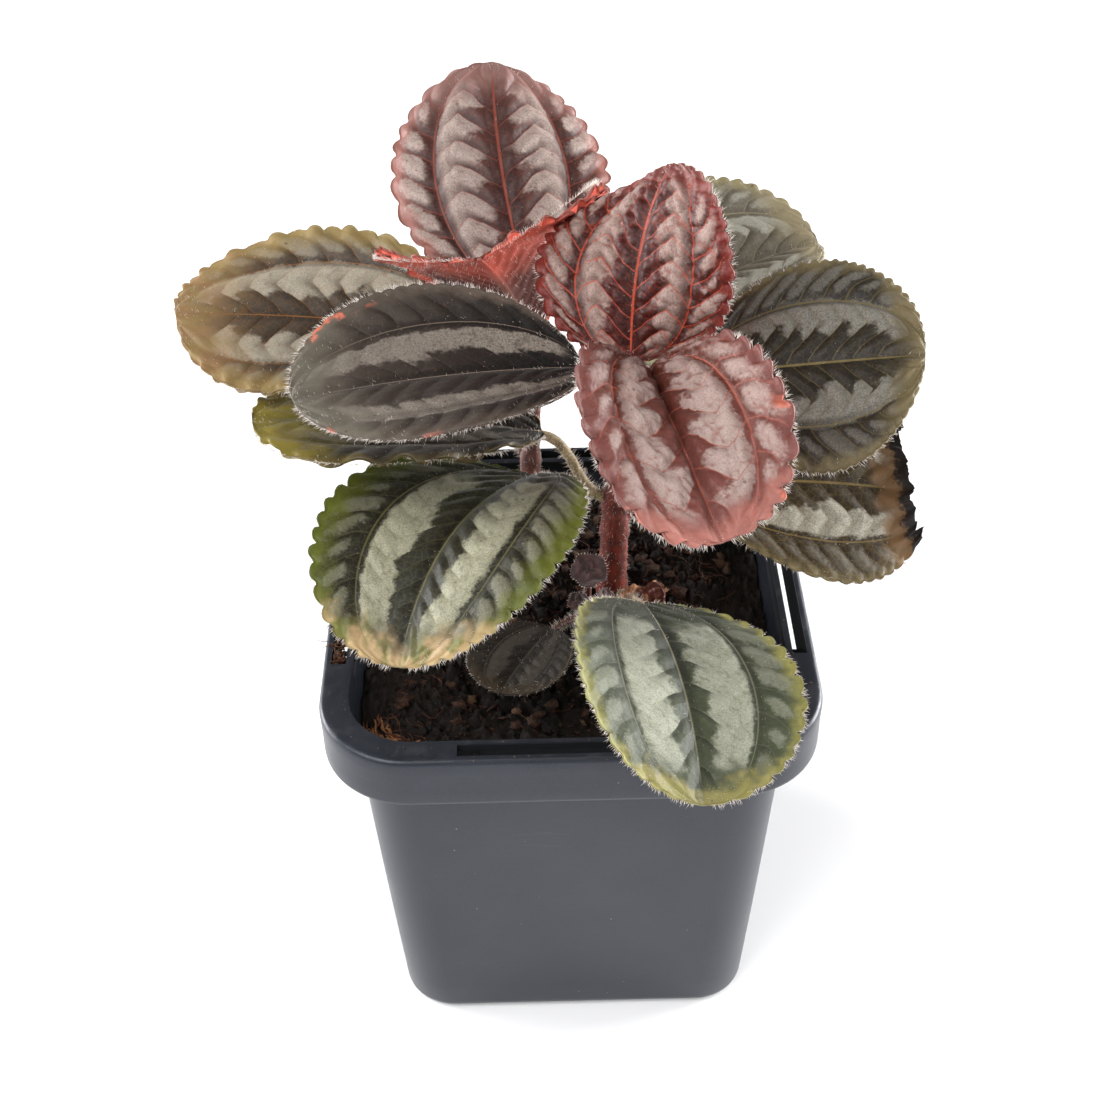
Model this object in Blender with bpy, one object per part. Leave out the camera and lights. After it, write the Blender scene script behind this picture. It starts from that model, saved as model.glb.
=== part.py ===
"""Potted pilea: a square nursery pot, its soil, two stems, a basal shoot and fifteen quilted leaves.

Sizes are in millimetres and turned into metres where the meshes are made. The origin is the centre
of the pot's underside, +Z is up, and -Y is the side from which the plant is usually looked at.
"""

from dataclasses import dataclass
from math import cos, pi, radians

import bpy
import numpy as np
from mathutils import Vector, noise

MM = 0.001
GAP = 0.4

# Pot: half widths and corner radii of its rounded square section.
POT_HEIGHT = 85.4
RIM_HALF = 45.0
RIM_RADIUS = 16.7
SKIRT_HEIGHT = 11.0
RIM_THICKNESS = 1.5
WALL = 1.2
BODY_TOP_HALF = 39.0
BODY_TOP_RADIUS = 10.6
BASE_HALF = 35.1
BASE_RADIUS = 10.0
BASE_FILLET = 2.5
FLOOR = 1.6
MOUTH_HALF = 39.6
MOUTH_RADIUS = 11.8
CORNER_STEPS = 6
SLOT_INNER = 40.8
SLOT_OUTER = 43.5
SLOT_HALF_LENGTH = 20.0
RIB_PLACES = (-17.0, 17.0)
RIB_THICKNESS = 0.9
DRAIN_DIAMETER = 7.0
DRAIN_PLACE = 21.0

# Soil: mean level, height of its crumbs, rings of points from the rim to the middle.
SOIL_LEVEL = 78.0
SOIL_CRUMB = 1.1
SOIL_RINGS = 11

# Leaf blades: rows run from base to tip, columns from the left margin to the right one.
BLADE_THICKNESS = 0.7
BLADE_ROWS = 20
SMALL_BLADE_ROWS = 12
SMALL_BLADE = 25
BLADE_COLUMNS = (-1.0, -0.62, -0.32, 0.0, 0.32, 0.62, 1.0)
SIDE_VEIN = 0.62
TOOTH = 0.55
QUILT = 0.8
TIP_CUT = 0.15
PETIOLE_RADIUS = 0.9
PETIOLE_IN_BLADE = 5.0
PETIOLE_GAP = 0.7
STEM_SIDES = 10


@dataclass
class Leaf:
    """One blade. Angles are in degrees: heading from +X towards +Y, pitch above the horizontal at the
    base, droop is how far the pitch falls by the tip, sweep how far the heading turns, roll and twist
    the same about the midrib, cups bend each half upwards and folds lift both halves at base and tip.
    """

    base: tuple
    heading: float
    pitch: float
    length: float
    width: float
    stem: str
    node: float
    droop: float = 15
    sweep: float = 0
    roll: float = 0
    twist: float = 0
    cup_left: float = 8
    cup_right: float = 8
    fold: float = 8
    fold_tip: float = 0
    skew: float = 0.06
    arch: float = 0.10
    tint: tuple = (0.16, 0.15, 0.10)


@dataclass
class Stem:
    """A stem's axis points (x, y, z), bottom first, with its radius at foot and top."""

    points: tuple
    foot_radius: float
    top_radius: float


STEMS = {
    "stem_front": Stem(
        (
            (8.6, 4, 67), (8.8, 4, 80), (9.1, 3, 92), (9.4, 1.2, 106), (10.8, -5, 119),
            (11.9, -10.2, 127.5), (12, -11, 133),
        ),
        3.2,
        1.6,
    ),
    "stem_back": Stem(
        (
            (-8, 17, 67), (-7.6, 17, 80), (-7, 16.4, 92), (-6.2, 16, 106), (-5.6, 18.6, 117),
            (-5.8, 20.2, 124), (-5.8, 20.4, 127.5),
        ),
        2.4,
        1.3,
    ),
    "basal_shoot": Stem(((3.6, -2, 67), (3.8, -2.2, 80), (4, -3, 91)), 1.1, 0.7),
}

RED = (0.23, 0.05, 0.04)
WINE = (0.20, 0.06, 0.05)
SLATE = (0.10, 0.08, 0.07)
OLIVE = (0.17, 0.15, 0.06)
GREEN = (0.15, 0.18, 0.07)

LEAVES = {
    "leaf_back_crown": Leaf(
        (-6, 25, 136), 108, 41, 47, 42, "stem_back", 125, droop=11, sweep=-18, roll=-9, twist=16,
        cup_left=-19, cup_right=-13, fold=2, fold_tip=-16, skew=0.0, tint=WINE,
    ),
    "leaf_back_cupped": Leaf(
        (-5.5, 18.5, 130.5), 239, 63, 30, 47, "stem_back", 122, droop=15, sweep=4, roll=34, twist=-5,
        cup_left=27, cup_right=15, fold=36, fold_tip=11, skew=0.16, tint=RED,
    ),
    "leaf_front_crown": Leaf(
        (11, -9, 143), 84, 79, 33, 36, "stem_front", 130, droop=45, sweep=-30, roll=-1, twist=-37,
        cup_left=20, cup_right=7, fold=6, fold_tip=-11, skew=-0.08, tint=RED,
    ),
    "leaf_front_arching": Leaf(
        (13.5, -13, 143), -86, 20, 42, 37, "stem_front", 130, droop=51, sweep=17, roll=-5, twist=5,
        cup_left=45, cup_right=21, fold=30, fold_tip=6, skew=0.02, tint=WINE,
    ),
    "leaf_left_upper": Leaf(
        (3, -10, 142), 190, 7, 48, 41, "stem_front", 128, droop=6, sweep=10, roll=-2, twist=8,
        cup_left=3, cup_right=27, fold=15, fold_tip=-2, skew=0.05, tint=SLATE,
    ),
    "leaf_left_back": Leaf(
        (-18, 20, 130), 173, 7, 52, 43, "stem_back", 121, droop=-3, sweep=22, roll=-21, twist=11,
        cup_left=19, cup_right=2, fold=26, fold_tip=-17, skew=0.07, tint=OLIVE,
    ),
    "leaf_right_back": Leaf(
        (14, 24, 125), 44, 19, 41.5, 45, "stem_back", 121, droop=11, sweep=-37, roll=3, twist=-10,
        cup_left=24, cup_right=-5, fold=25, fold_tip=14, skew=0.03, tint=GREEN,
    ),
    "leaf_right_upper": Leaf(
        (23, -7, 138), -4, 8, 37, 41, "stem_front", 128, droop=-4, sweep=-9, roll=31, twist=-18,
        cup_left=0, cup_right=-12, fold=1, fold_tip=4, skew=0.08, tint=OLIVE,
    ),
    "leaf_right_lower": Leaf(
        (23, -3, 112), -1, 3, 43, 39, "stem_front", 104, droop=17, sweep=3, roll=27,
        cup_left=-1, cup_right=8, fold=6, fold_tip=-5, skew=0.10, tint=OLIVE,
    ),
    "leaf_left_lower": Leaf(
        (-4, 1, 121), 186, 15, 51, 34, "stem_front", 106, droop=11, sweep=3, roll=4, twist=2,
        cup_left=6, cup_right=-1, fold=9, fold_tip=-3, skew=0.10, tint=SLATE,
    ),
    "leaf_left_front": Leaf(
        (-5, -4, 115), 227, 22, 51, 46, "stem_back", 100, droop=57, sweep=30, roll=24, twist=-8,
        cup_left=-27, cup_right=32, fold=7, fold_tip=10, skew=-0.12, tint=GREEN,
    ),
    "leaf_rim_front": Leaf(
        (14, -5, 85), -76, 24, 55, 41, "stem_front", 82, droop=42, sweep=-13, roll=-19, twist=8,
        cup_left=9, cup_right=6, fold=6, fold_tip=12, skew=0.04, tint=GREEN,
    ),
    "leaf_soil_small": Leaf(
        (-3, -9, 82.5), 237, 7, 20, 20, "basal_shoot", 81, droop=10, sweep=9, roll=4,
        cup_left=15, cup_right=11, fold=10, fold_tip=4, skew=0.1, tint=SLATE,
    ),
    "leaf_behind_left": Leaf(
        (-12, 24, 111), 140, 18, 42, 34, "stem_back", 104, droop=24, roll=6, tint=OLIVE,
    ),
    "leaf_behind_right": Leaf(
        (15, 11, 104), 70, 6, 42, 34, "stem_front", 97, droop=16, roll=-4, tint=GREEN,
    ),
}


def clear_scene():
    for obj in list(bpy.data.objects):
        bpy.data.objects.remove(obj, do_unlink=True)


def material(name, colour, roughness):
    made = bpy.data.materials.new(name)
    made.use_nodes = True
    shader = made.node_tree.nodes["Principled BSDF"]
    shader.inputs["Base Color"].default_value = (*colour, 1)
    shader.inputs["Roughness"].default_value = roughness
    shader.inputs["Metallic"].default_value = 0
    return made


def solid(name, points, faces, look):
    """A closed, smooth-shaded mesh object from points in millimetres."""
    mesh = bpy.data.meshes.new(name)
    mesh.from_pydata([tuple(p) for p in np.asarray(points) * MM], [], faces)
    mesh.shade_smooth()
    mesh.set_sharp_from_angle(angle=radians(40))
    mesh.materials.append(look)
    obj = bpy.data.objects.new(name, mesh)
    bpy.context.collection.objects.link(obj)
    return obj


def combine(obj, helper, operation):
    """Joins or cuts obj with a helper solid, which is then no part of the model."""
    helper.hide_render = True
    helper.display_type = "WIRE"
    boolean = obj.modifiers.new(helper.name, "BOOLEAN")
    boolean.operation = operation
    boolean.object = helper
    boolean.solver = "EXACT"


def grid_faces(start, rows, columns, flip, closed=False):
    """Triangles between rows of points. A closed grid also joins its last column to the first."""
    faces = []
    for r in range(rows - 1):
        for c in range(columns if closed else columns - 1):
            a = start + r * columns + c
            b = start + r * columns + (c + 1) % columns
            d = a + columns
            e = b + columns
            pair = ((a, b, e), (a, e, d))
            faces += [tuple(reversed(face)) for face in pair] if flip else list(pair)
    return faces


def tube(name, path, radii, sides, look):
    """A capped round tube along a path."""
    path = np.asarray(path, float)
    tangents = np.gradient(path, axis=0)
    steep = abs(tangents[0][2]) >= 0.9 * np.linalg.norm(tangents[0])
    side = np.cross(tangents[0], (1, 0, 0) if steep else (0.3, 0.2, 1.0))
    points = []
    for centre, tangent, radius in zip(path, tangents, radii):
        tangent = tangent / np.linalg.norm(tangent)
        side = side - tangent * side.dot(tangent)
        side = side / np.linalg.norm(side)
        up = np.cross(tangent, side)
        for k in range(sides):
            angle = 2 * pi * k / sides
            points.append(centre + radius * (cos(angle) * side + np.sin(angle) * up))
    rows = len(path)
    faces = grid_faces(0, rows, sides, False, closed=True)
    faces.append(tuple(reversed(range(sides))))
    faces.append(tuple(range((rows - 1) * sides, rows * sides)))
    return solid(name, points, faces, look)


def smooth_path(points, per_span):
    """Points on a Catmull-Rom curve through the given ones."""
    p = np.asarray(points, float)
    p = np.vstack([2 * p[0] - p[1], p, 2 * p[-1] - p[-2]])
    out = []
    for i in range(1, len(p) - 2):
        for t in np.linspace(0, 1, per_span, endpoint=False):
            out.append(
                0.5 * (2 * p[i] + (p[i + 1] - p[i - 1]) * t
                + (2 * p[i - 1] - 5 * p[i] + 4 * p[i + 1] - p[i + 2]) * t**2
                + (3 * p[i] - p[i - 1] - 3 * p[i + 1] + p[i + 2]) * t**3)
            )
    out.append(p[-2])
    return np.array(out)


# Leaves


def midrib(leaf, share):
    """Point, direction, left side and upper side of the midrib at shares of its length."""
    s = np.linspace(0, 1, 61)
    heading = np.radians(leaf.heading + leaf.sweep * s)
    pitch = np.radians(leaf.pitch - leaf.droop * s)
    roll = np.radians(leaf.roll + leaf.twist * s)[:, None]
    along = np.stack([np.cos(heading) * np.cos(pitch), np.sin(heading) * np.cos(pitch), np.sin(pitch)], -1)
    level = np.stack([-np.sin(heading), np.cos(heading), 0 * heading], -1)
    above = np.cross(along, level)
    left = level * np.cos(roll) + above * np.sin(roll)
    upper = above * np.cos(roll) - level * np.sin(roll)
    place = np.zeros((61, 3))
    place[1:] = np.cumsum((along[1:] + along[:-1]) / 2 * leaf.length / 60, axis=0)
    place += leaf.base
    curves = (place, along, left, upper)
    return [np.stack([np.interp(share, s, a[:, k]) for k in range(3)], -1) for a in curves]


def blade_surface(leaf, turn, column, out=0.0):
    """Points of the blade. turn runs from 0 at the base to pi at the tip, column from -1 to 1 across,
    and out moves a margin point outwards in the plane of the flattened blade."""
    share = (1 - np.cos(turn)) / 2
    share = share + leaf.arch * np.sin(turn) ** 1.5 * np.abs(column) ** 1.2 * (1 - share)
    across = leaf.width / 2 * np.sin(turn) ** 0.92 * (1 - leaf.skew * np.cos(turn)) * column
    outward = np.stack([-np.cos(turn) * leaf.width, np.sin(turn) * leaf.length], -1)
    outward = outward / np.linalg.norm(outward, axis=-1, keepdims=True)
    share = share + out * outward[..., 0] / leaf.length
    across = across + out * outward[..., 1] * np.sign(column)
    place, _, left, upper = midrib(leaf, share)
    cup = np.radians(np.where(across > 0, leaf.cup_left, leaf.cup_right)) / (leaf.width / 2)
    cup = np.where(np.abs(cup) < 1e-5, 1e-5, cup)
    fold = np.radians(leaf.fold + (leaf.fold_tip - leaf.fold) * share)
    reach = np.abs(across)
    sideways = (np.sin(fold + cup * reach) - np.sin(fold)) / cup
    raised = (np.cos(fold) - np.cos(fold + cup * reach)) / cup
    return place + left * (np.sign(across) * sideways)[..., None] + upper * raised[..., None]


def blade_normals(points):
    down = np.gradient(points, axis=0)
    across = np.gradient(points, axis=1)
    normals = np.cross(down, across)
    return normals / np.linalg.norm(normals, axis=-1, keepdims=True)


def blade(name, leaf, look):
    """The quilted blade with round teeth on its margin, split alike on its two faces."""
    size = leaf.length / 46
    row_count = (SMALL_BLADE_ROWS if leaf.length < SMALL_BLADE else BLADE_ROWS) + 1
    turns = np.linspace(TIP_CUT, pi - TIP_CUT, row_count)
    turn, column = np.meshgrid(turns, BLADE_COLUMNS, indexing="ij")
    odd = np.arange(row_count)[:, None] % 2 == 1
    margin = np.abs(column) == 1
    wide = np.sin(turn) ** 0.5
    teeth = np.where(odd, 1.0, -0.5) * TOOTH * size * wide * margin
    middle = blade_surface(leaf, turn, column, teeth)
    normals = blade_normals(blade_surface(leaf, turn, column))
    if (normals * midrib(leaf, np.full(turn.shape, 0.5))[3]).sum() < 0:
        normals = -normals
    panel = np.sin(pi * np.minimum(np.abs(column) / SIDE_VEIN, (1 - np.abs(column)) / (1 - SIDE_VEIN)))
    panel = np.where(np.abs(column) < SIDE_VEIN, panel, 0.6 * panel)
    quilt = QUILT * size * panel * np.where(odd, 1.0, 0.25) * np.sin(turn)
    middle = middle + normals * quilt[..., None]
    half = BLADE_THICKNESS / 2
    top = (middle + normals * half).reshape(-1, 3)
    below = (middle - normals * half).reshape(-1, 3)
    rows, columns = turn.shape
    count = rows * columns
    faces = grid_faces(0, rows, columns, False) + grid_faces(count, rows, columns, True)
    ring = list(range(columns))
    ring += [r * columns + columns - 1 for r in range(1, rows)]
    ring += [(rows - 1) * columns + c for c in range(columns - 2, -1, -1)]
    ring += [r * columns for r in range(rows - 2, 0, -1)]
    for a, b in zip(ring, ring[1:] + ring[:1]):
        faces += [(b, a, a + count), (b, a + count, b + count)]
    made = solid(name, np.vstack([top, below]), faces, look)
    if signed_volume(made.data) < 0:
        made.data.flip_normals()
    return made


def signed_volume(mesh):
    mesh.calc_loop_triangles()
    total = 0.0
    for triangle in mesh.loop_triangles:
        a, b, c = (mesh.vertices[i].co for i in triangle.vertices)
        total += a.dot(b.cross(c))
    return total


def stem_axis(stem, height):
    """Axis point and radius of a stem at a height."""
    path = smooth_path(stem.points, 6)
    z = path[:, 2]
    place = np.array([np.interp(height, z, path[:, 0]), np.interp(height, z, path[:, 1]), height])
    share = (height - z[0]) / (z[-1] - z[0])
    return place, stem.foot_radius + (stem.top_radius - stem.foot_radius) * share


def petiole(name, leaf, look):
    """The leaf stalk, from just off the stem to a few millimetres under the blade's midrib."""
    axis, radius = stem_axis(STEMS[leaf.stem], leaf.node)
    inside = PETIOLE_IN_BLADE / leaf.length
    ribs, along, _, upper = midrib(leaf, np.array([0.0, inside / 2, inside]))
    under = ribs - upper * PETIOLE_RADIUS * 0.55
    level = (ribs[0] - axis) * (1, 1, 0)
    level = level / np.linalg.norm(level)
    start = axis + level * (radius + node_swell(leaf.stem) + PETIOLE_GAP)
    span = np.linalg.norm(under[0] - start)
    bend_a = start + level * span * 0.35
    bend_b = under[0] - along[0] * span * 0.35
    path = []
    for t in np.linspace(0, 1, 7):
        early = start * (1 - t) ** 3 + 3 * bend_a * t * (1 - t) ** 2
        path.append(early + 3 * bend_b * t**2 * (1 - t) + under[0] * t**3)
    path = path + list(under[1:])
    radii = [PETIOLE_RADIUS * r for r in (*np.linspace(1.15, 1.0, 7), 0.85, 0.6)]
    return tube(name, path, radii, 6, look)


def make_leaf(name, leaf):
    look = material(name, leaf.tint, 0.55)
    made = blade(name, leaf, look)
    combine(made, petiole(name + ".petiole", leaf, look), "UNION")
    return made


# Stems


def node_swell(name):
    return 0.15 if name == "basal_shoot" else 0.35


def make_stem(name, stem):
    """A tapered stem, swollen at each height where leaf stalks leave it."""
    path = smooth_path(stem.points, 2)
    radii = []
    nodes = sorted({leaf.node for leaf in LEAVES.values() if leaf.stem == name})
    rows = []
    beside = {n + d for n in nodes for d in (-2, 2) if n + d < path[-1, 2]}
    for height in sorted(set(path[:, 2]) | set(nodes) | beside):
        place, radius = stem_axis(stem, height)
        rows.append(place)
        radii.append(radius + (node_swell(name) if height in nodes else 0))
    rows.append(rows[-1] + (rows[-1] - rows[-2]) / np.linalg.norm(rows[-1] - rows[-2]) * 1.2)
    radii.append(radii[-1] * 0.35)
    look = material(name, (0.20, 0.06, 0.04), 0.6)
    return tube(name, rows, radii, STEM_SIDES, look)


def small_blade(name, centre, radius, facing, look):
    """A round young leaf: a shallow dish of full blade thickness."""
    facing = Vector(facing).normalized()
    across = facing.orthogonal().normalized()
    other = facing.cross(across)
    sides = 10
    points = [Vector(centre) + facing * BLADE_THICKNESS / 2]
    for level, size in ((0.5, 0.55), (0.5, 1.0), (-0.5, 1.0), (-0.5, 0.55)):
        for k in range(sides):
            angle = 2 * pi * k / sides
            rise = level * BLADE_THICKNESS + 0.12 * radius * size**2
            reach = across * cos(angle) + other * np.sin(angle)
            points.append(Vector(centre) + reach * radius * size + facing * rise)
    points.append(Vector(centre) - facing * BLADE_THICKNESS / 2)
    faces = [(0, 1 + k, 1 + (k + 1) % sides) for k in range(sides)]
    faces += grid_faces(1, 4, sides, True, closed=True)
    last = len(points) - 1
    faces += [(last, 1 + 3 * sides + (k + 1) % sides, 1 + 3 * sides + k) for k in range(sides)]
    return solid(name, [tuple(p) for p in points], faces, look)


def dress_basal_shoot(shoot):
    """Three young round leaves on their stalks, grown together with the shoot."""
    look = shoot.data.materials[0]
    young = (
        ((4.2, -3.4, 92.0), 3.4, (0.0, -0.5, 1.0), None),
        ((2.0, -5.4, 86.0), 1.9, (-0.2, -0.6, 1.0), 83.0),
        ((7.2, -4.6, 86.6), 1.6, (0.3, -0.5, 1.0), 84.0),
    )
    for index, (centre, radius, facing, node) in enumerate(young):
        combine(shoot, small_blade(f"young_leaf_{index}", centre, radius, facing, look), "UNION")
        if node is not None:
            start, _ = stem_axis(STEMS["basal_shoot"], node)
            end = np.array(centre)
            middle = (start + end) / 2 + (0, 0, -0.4)
            path = smooth_path((start, middle, end), 2)
            combine(shoot, tube(f"young_stalk_{index}", path, [0.5] * len(path), 6, look), "UNION")


# Pot and soil


def section(half, radius, height):
    """One ring of the pot: a square with round corners, seen from above, anticlockwise."""
    points = []
    for quarter in range(4):
        for step in range(CORNER_STEPS + 1):
            angle = pi / 2 * (quarter + step / CORNER_STEPS)
            centre = pi / 2 * quarter + pi / 4
            corner = (half - radius) * np.array([np.sign(cos(centre)), np.sign(np.sin(centre))])
            points.append((corner[0] + radius * cos(angle), corner[1] + radius * np.sin(angle), height))
    return points


def box(name, low, high, look):
    xs, ys, zs = zip(low, high)
    points = [(x, y, z) for z in zs for y in ys for x in xs]
    faces = [(0, 2, 3, 1), (4, 5, 7, 6), (0, 1, 5, 4), (2, 6, 7, 3), (0, 4, 6, 2), (1, 3, 7, 5)]
    return solid(name, points, faces, look)


def wall_ring(height, inset=0.0):
    """Half width and corner radius of the pot's inner wall at a height."""
    heights = (FLOOR, 40.0, 74.0, 79.0, 83.0)
    half = np.interp(height, heights, (33.9, 36.0, 37.8, 38.5, 39.5))
    radius = np.interp(height, heights, (8.8, 9.2, 9.5, 10.2, 11.6))
    return half - inset, radius - inset


def make_pot():
    look = material("pot", (0.055, 0.058, 0.068), 0.42)
    skirt_foot = POT_HEIGHT - SKIRT_HEIGHT
    under_rim = POT_HEIGHT - RIM_THICKNESS
    outer_body = (
        (BASE_HALF - BASE_FILLET, BASE_RADIUS - BASE_FILLET, 0.0),
        (BASE_HALF - 0.7, BASE_RADIUS - 0.7, 0.8),
        (BASE_HALF, BASE_RADIUS, BASE_FILLET),
        (BODY_TOP_HALF, BODY_TOP_RADIUS, skirt_foot),
        (BODY_TOP_HALF + 0.7, BODY_TOP_RADIUS + 0.5, skirt_foot + 5),
        (SLOT_INNER - 0.1, MOUTH_RADIUS + 0.8, under_rim),
    )
    rim = (
        (RIM_HALF - WALL - 0.1, RIM_RADIUS - WALL, under_rim),
        (RIM_HALF - WALL, RIM_RADIUS - WALL, skirt_foot + 0.3),
        (RIM_HALF - WALL + 0.4, RIM_RADIUS - WALL + 0.4, skirt_foot),
        (RIM_HALF - 0.3, RIM_RADIUS - 0.3, skirt_foot + 0.1),
        (RIM_HALF - 0.1, RIM_RADIUS - 0.1, skirt_foot + 0.8),
        (RIM_HALF, RIM_RADIUS, POT_HEIGHT - 1.0),
        (RIM_HALF - 0.3, RIM_RADIUS - 0.3, POT_HEIGHT - 0.3),
        (RIM_HALF - 1.0, RIM_RADIUS - 1.0, POT_HEIGHT),
        (MOUTH_HALF + 0.4, MOUTH_RADIUS + 0.4, POT_HEIGHT),
        (MOUTH_HALF, MOUTH_RADIUS, POT_HEIGHT - 0.5),
    )
    inside = tuple((*wall_ring(z), z) for z in (83.0, 79.0, 74.0, 40.0, 4.0))
    floor = ((*wall_ring(FLOOR, 1.5), FLOOR),)
    rings = outer_body + rim + inside + floor
    points = [p for ring in rings for p in section(*ring)]
    sides = 4 * (CORNER_STEPS + 1)
    faces = grid_faces(0, len(rings), sides, False, closed=True)
    faces.append(tuple(reversed(range(sides))))
    faces.append(tuple(range(len(points) - sides, len(points))))
    pot = solid("pot", points, faces, look)
    for quarter in range(4):
        for place in RIB_PLACES:
            combine(pot, rim_rib(quarter, place, look), "UNION")
    for quarter in range(4):
        slot = box(
            f"slot_{quarter}",
            (SLOT_INNER, -SLOT_HALF_LENGTH, under_rim - 0.8),
            (SLOT_OUTER, SLOT_HALF_LENGTH, POT_HEIGHT + 2),
            look,
        )
        slot.rotation_euler.z = pi / 2 * quarter
        combine(pot, slot, "DIFFERENCE")
    for x in (-DRAIN_PLACE, DRAIN_PLACE):
        for y in (-DRAIN_PLACE, DRAIN_PLACE):
            ends = ((x, y, -2), (x, y, 4))
            drain = tube(f"drain_{x:.0f}_{y:.0f}", ends, (DRAIN_DIAMETER / 2,) * 2, 16, look)
            combine(pot, drain, "DIFFERENCE")
    return pot


def rim_rib(quarter, place, look):
    """A thin triangular rib under the rim, between the wall and the skirt."""
    outline = ((39.3, 84.4), (44.3, 84.4), (44.3, 77.0), (39.6, 82.6))
    points = [(x, place + side * RIB_THICKNESS / 2, z) for side in (-1, 1) for x, z in outline]
    faces = [(0, 3, 2, 1), (4, 5, 6, 7)] + [(k, (k + 1) % 4, 4 + (k + 1) % 4, 4 + k) for k in range(4)]
    rib = solid(f"rib_{quarter}_{place:.0f}", points, faces, look)
    if signed_volume(rib.data) < 0:
        rib.data.flip_normals()
    rib.rotation_euler.z = pi / 2 * quarter
    return rib


def soil_height(x, y):
    """Crumbly surface, heaped a little round the stems and lower along the wall."""
    fine = noise.noise(Vector((x * 0.33, y * 0.33, 1.7)))
    coarse = noise.noise(Vector((x * 0.11, y * 0.11, 5.1)))
    edge = max(abs(x), abs(y)) / BODY_TOP_HALF
    return SOIL_LEVEL + SOIL_CRUMB * fine + 1.3 * SOIL_CRUMB * coarse - 1.2 * edge**4


def make_soil():
    look = material("soil", (0.045, 0.026, 0.018), 0.95)
    half, radius = wall_ring(SOIL_LEVEL - 2, GAP)
    points = [(0, 0, soil_height(0, 0))]
    for ring in range(1, SOIL_RINGS + 1):
        share = ring / SOIL_RINGS
        for x, y, _ in section(half, radius, 0):
            points.append((x * share, y * share, soil_height(x * share, y * share)))
    for height in (70.0, 40.0, FLOOR + 2.5):
        points += section(*wall_ring(height, GAP), height)
    points += section(*wall_ring(FLOOR, 1.5 + GAP), FLOOR + GAP)
    sides = 4 * (CORNER_STEPS + 1)
    faces = [(0, 1 + k, 1 + (k + 1) % sides) for k in range(sides)]
    faces += grid_faces(1, SOIL_RINGS + 4, sides, True, closed=True)
    faces.append(tuple(reversed(range(len(points) - sides, len(points)))))
    soil = solid("soil", points, faces, look)
    for name, stem in STEMS.items():
        foot = np.array(stem.points[0], float)
        top = stem_axis(stem, SOIL_LEVEL + 4)[0]
        bottom = foot - (0, 0, GAP)
        hole = tube(
            name + ".hole",
            smooth_path((bottom, stem_axis(stem, SOIL_LEVEL - 4)[0], top), 3),
            ((stem.foot_radius + GAP) / cos(pi / STEM_SIDES),) * 7,
            STEM_SIDES,
            look,
        )
        combine(soil, hole, "DIFFERENCE")
    return soil


def main():
    clear_scene()
    make_pot()
    make_soil()
    for name, stem in STEMS.items():
        made = make_stem(name, stem)
        if name == "basal_shoot":
            dress_basal_shoot(made)
    for name, leaf in LEAVES.items():
        make_leaf(name, leaf)


main()
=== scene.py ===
"""Looks of the potted pilea: quilted, veined and hairy leaves, hairy stems, crumbly soil and a scuffed pot.

Shapes are worked out in millimetres and turned into metres where the meshes are made. They stand on
the CAD frame: origin at the centre of the pot's underside, +Z up, -Y the side that the camera is on.
"""

from math import cos, pi, radians, sin

import bmesh
import bpy
import numpy as np
from mathutils import Matrix, Vector, noise


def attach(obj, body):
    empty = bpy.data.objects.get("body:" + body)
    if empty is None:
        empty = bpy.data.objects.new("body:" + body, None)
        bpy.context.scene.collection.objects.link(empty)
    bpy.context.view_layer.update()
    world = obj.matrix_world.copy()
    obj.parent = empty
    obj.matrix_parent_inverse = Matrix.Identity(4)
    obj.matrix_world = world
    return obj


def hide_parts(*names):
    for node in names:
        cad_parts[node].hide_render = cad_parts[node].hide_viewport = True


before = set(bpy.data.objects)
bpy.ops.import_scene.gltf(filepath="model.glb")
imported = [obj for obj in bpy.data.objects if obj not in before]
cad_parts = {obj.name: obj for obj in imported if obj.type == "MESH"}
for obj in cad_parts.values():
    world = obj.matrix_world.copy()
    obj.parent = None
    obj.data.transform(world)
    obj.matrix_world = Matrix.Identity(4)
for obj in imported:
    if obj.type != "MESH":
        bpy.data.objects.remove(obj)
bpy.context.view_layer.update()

MM = 0.001

# Camera: place in millimetres, angles in degrees, focal length in the photograph's pixels.
CAMERA_PLACE = (-3.641, -243.245, 299.29)
CAMERA_YAW = 0.141
CAMERA_PITCH = 40.092
CAMERA_ROLL = -1.289
FOCAL_PIXELS = 1692.173
PHOTO_PIXELS = 1100
SENSOR_WIDTH = 36.0

# Leaf blades: points along and across, the angle cut off at each end, the side vein's column and
# half the thickness at the midrib and the part of it that is gone at the margin.
ROWS = 130
COLUMNS = 69
SMALL_ROWS = 96
SMALL_COLUMNS = 49
TIP_CUT = 0.03
SIDE_VEIN = 0.6
HALF_THICKNESS = 0.30
MARGIN_THINNING = 0.10
PETIOLE_RADIUS = 0.9
PETIOLE_IN_BLADE = 5.0
PETIOLE_STEPS = 15
SMALL_LENGTH = 25

# Height of a cross vein in the pattern at columns from the midrib to the margin.
VEIN_COLUMNS = (0, 0.12, 0.25, 0.38, 0.5, SIDE_VEIN, 0.75, 0.88, 1.0)
VEIN_CLIMB = (0, 0.035, 0.09, 0.13, 0.10, 0.055, 0.09, 0.14, 0.21)

HAIR_RADIUS = 0.032

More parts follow.
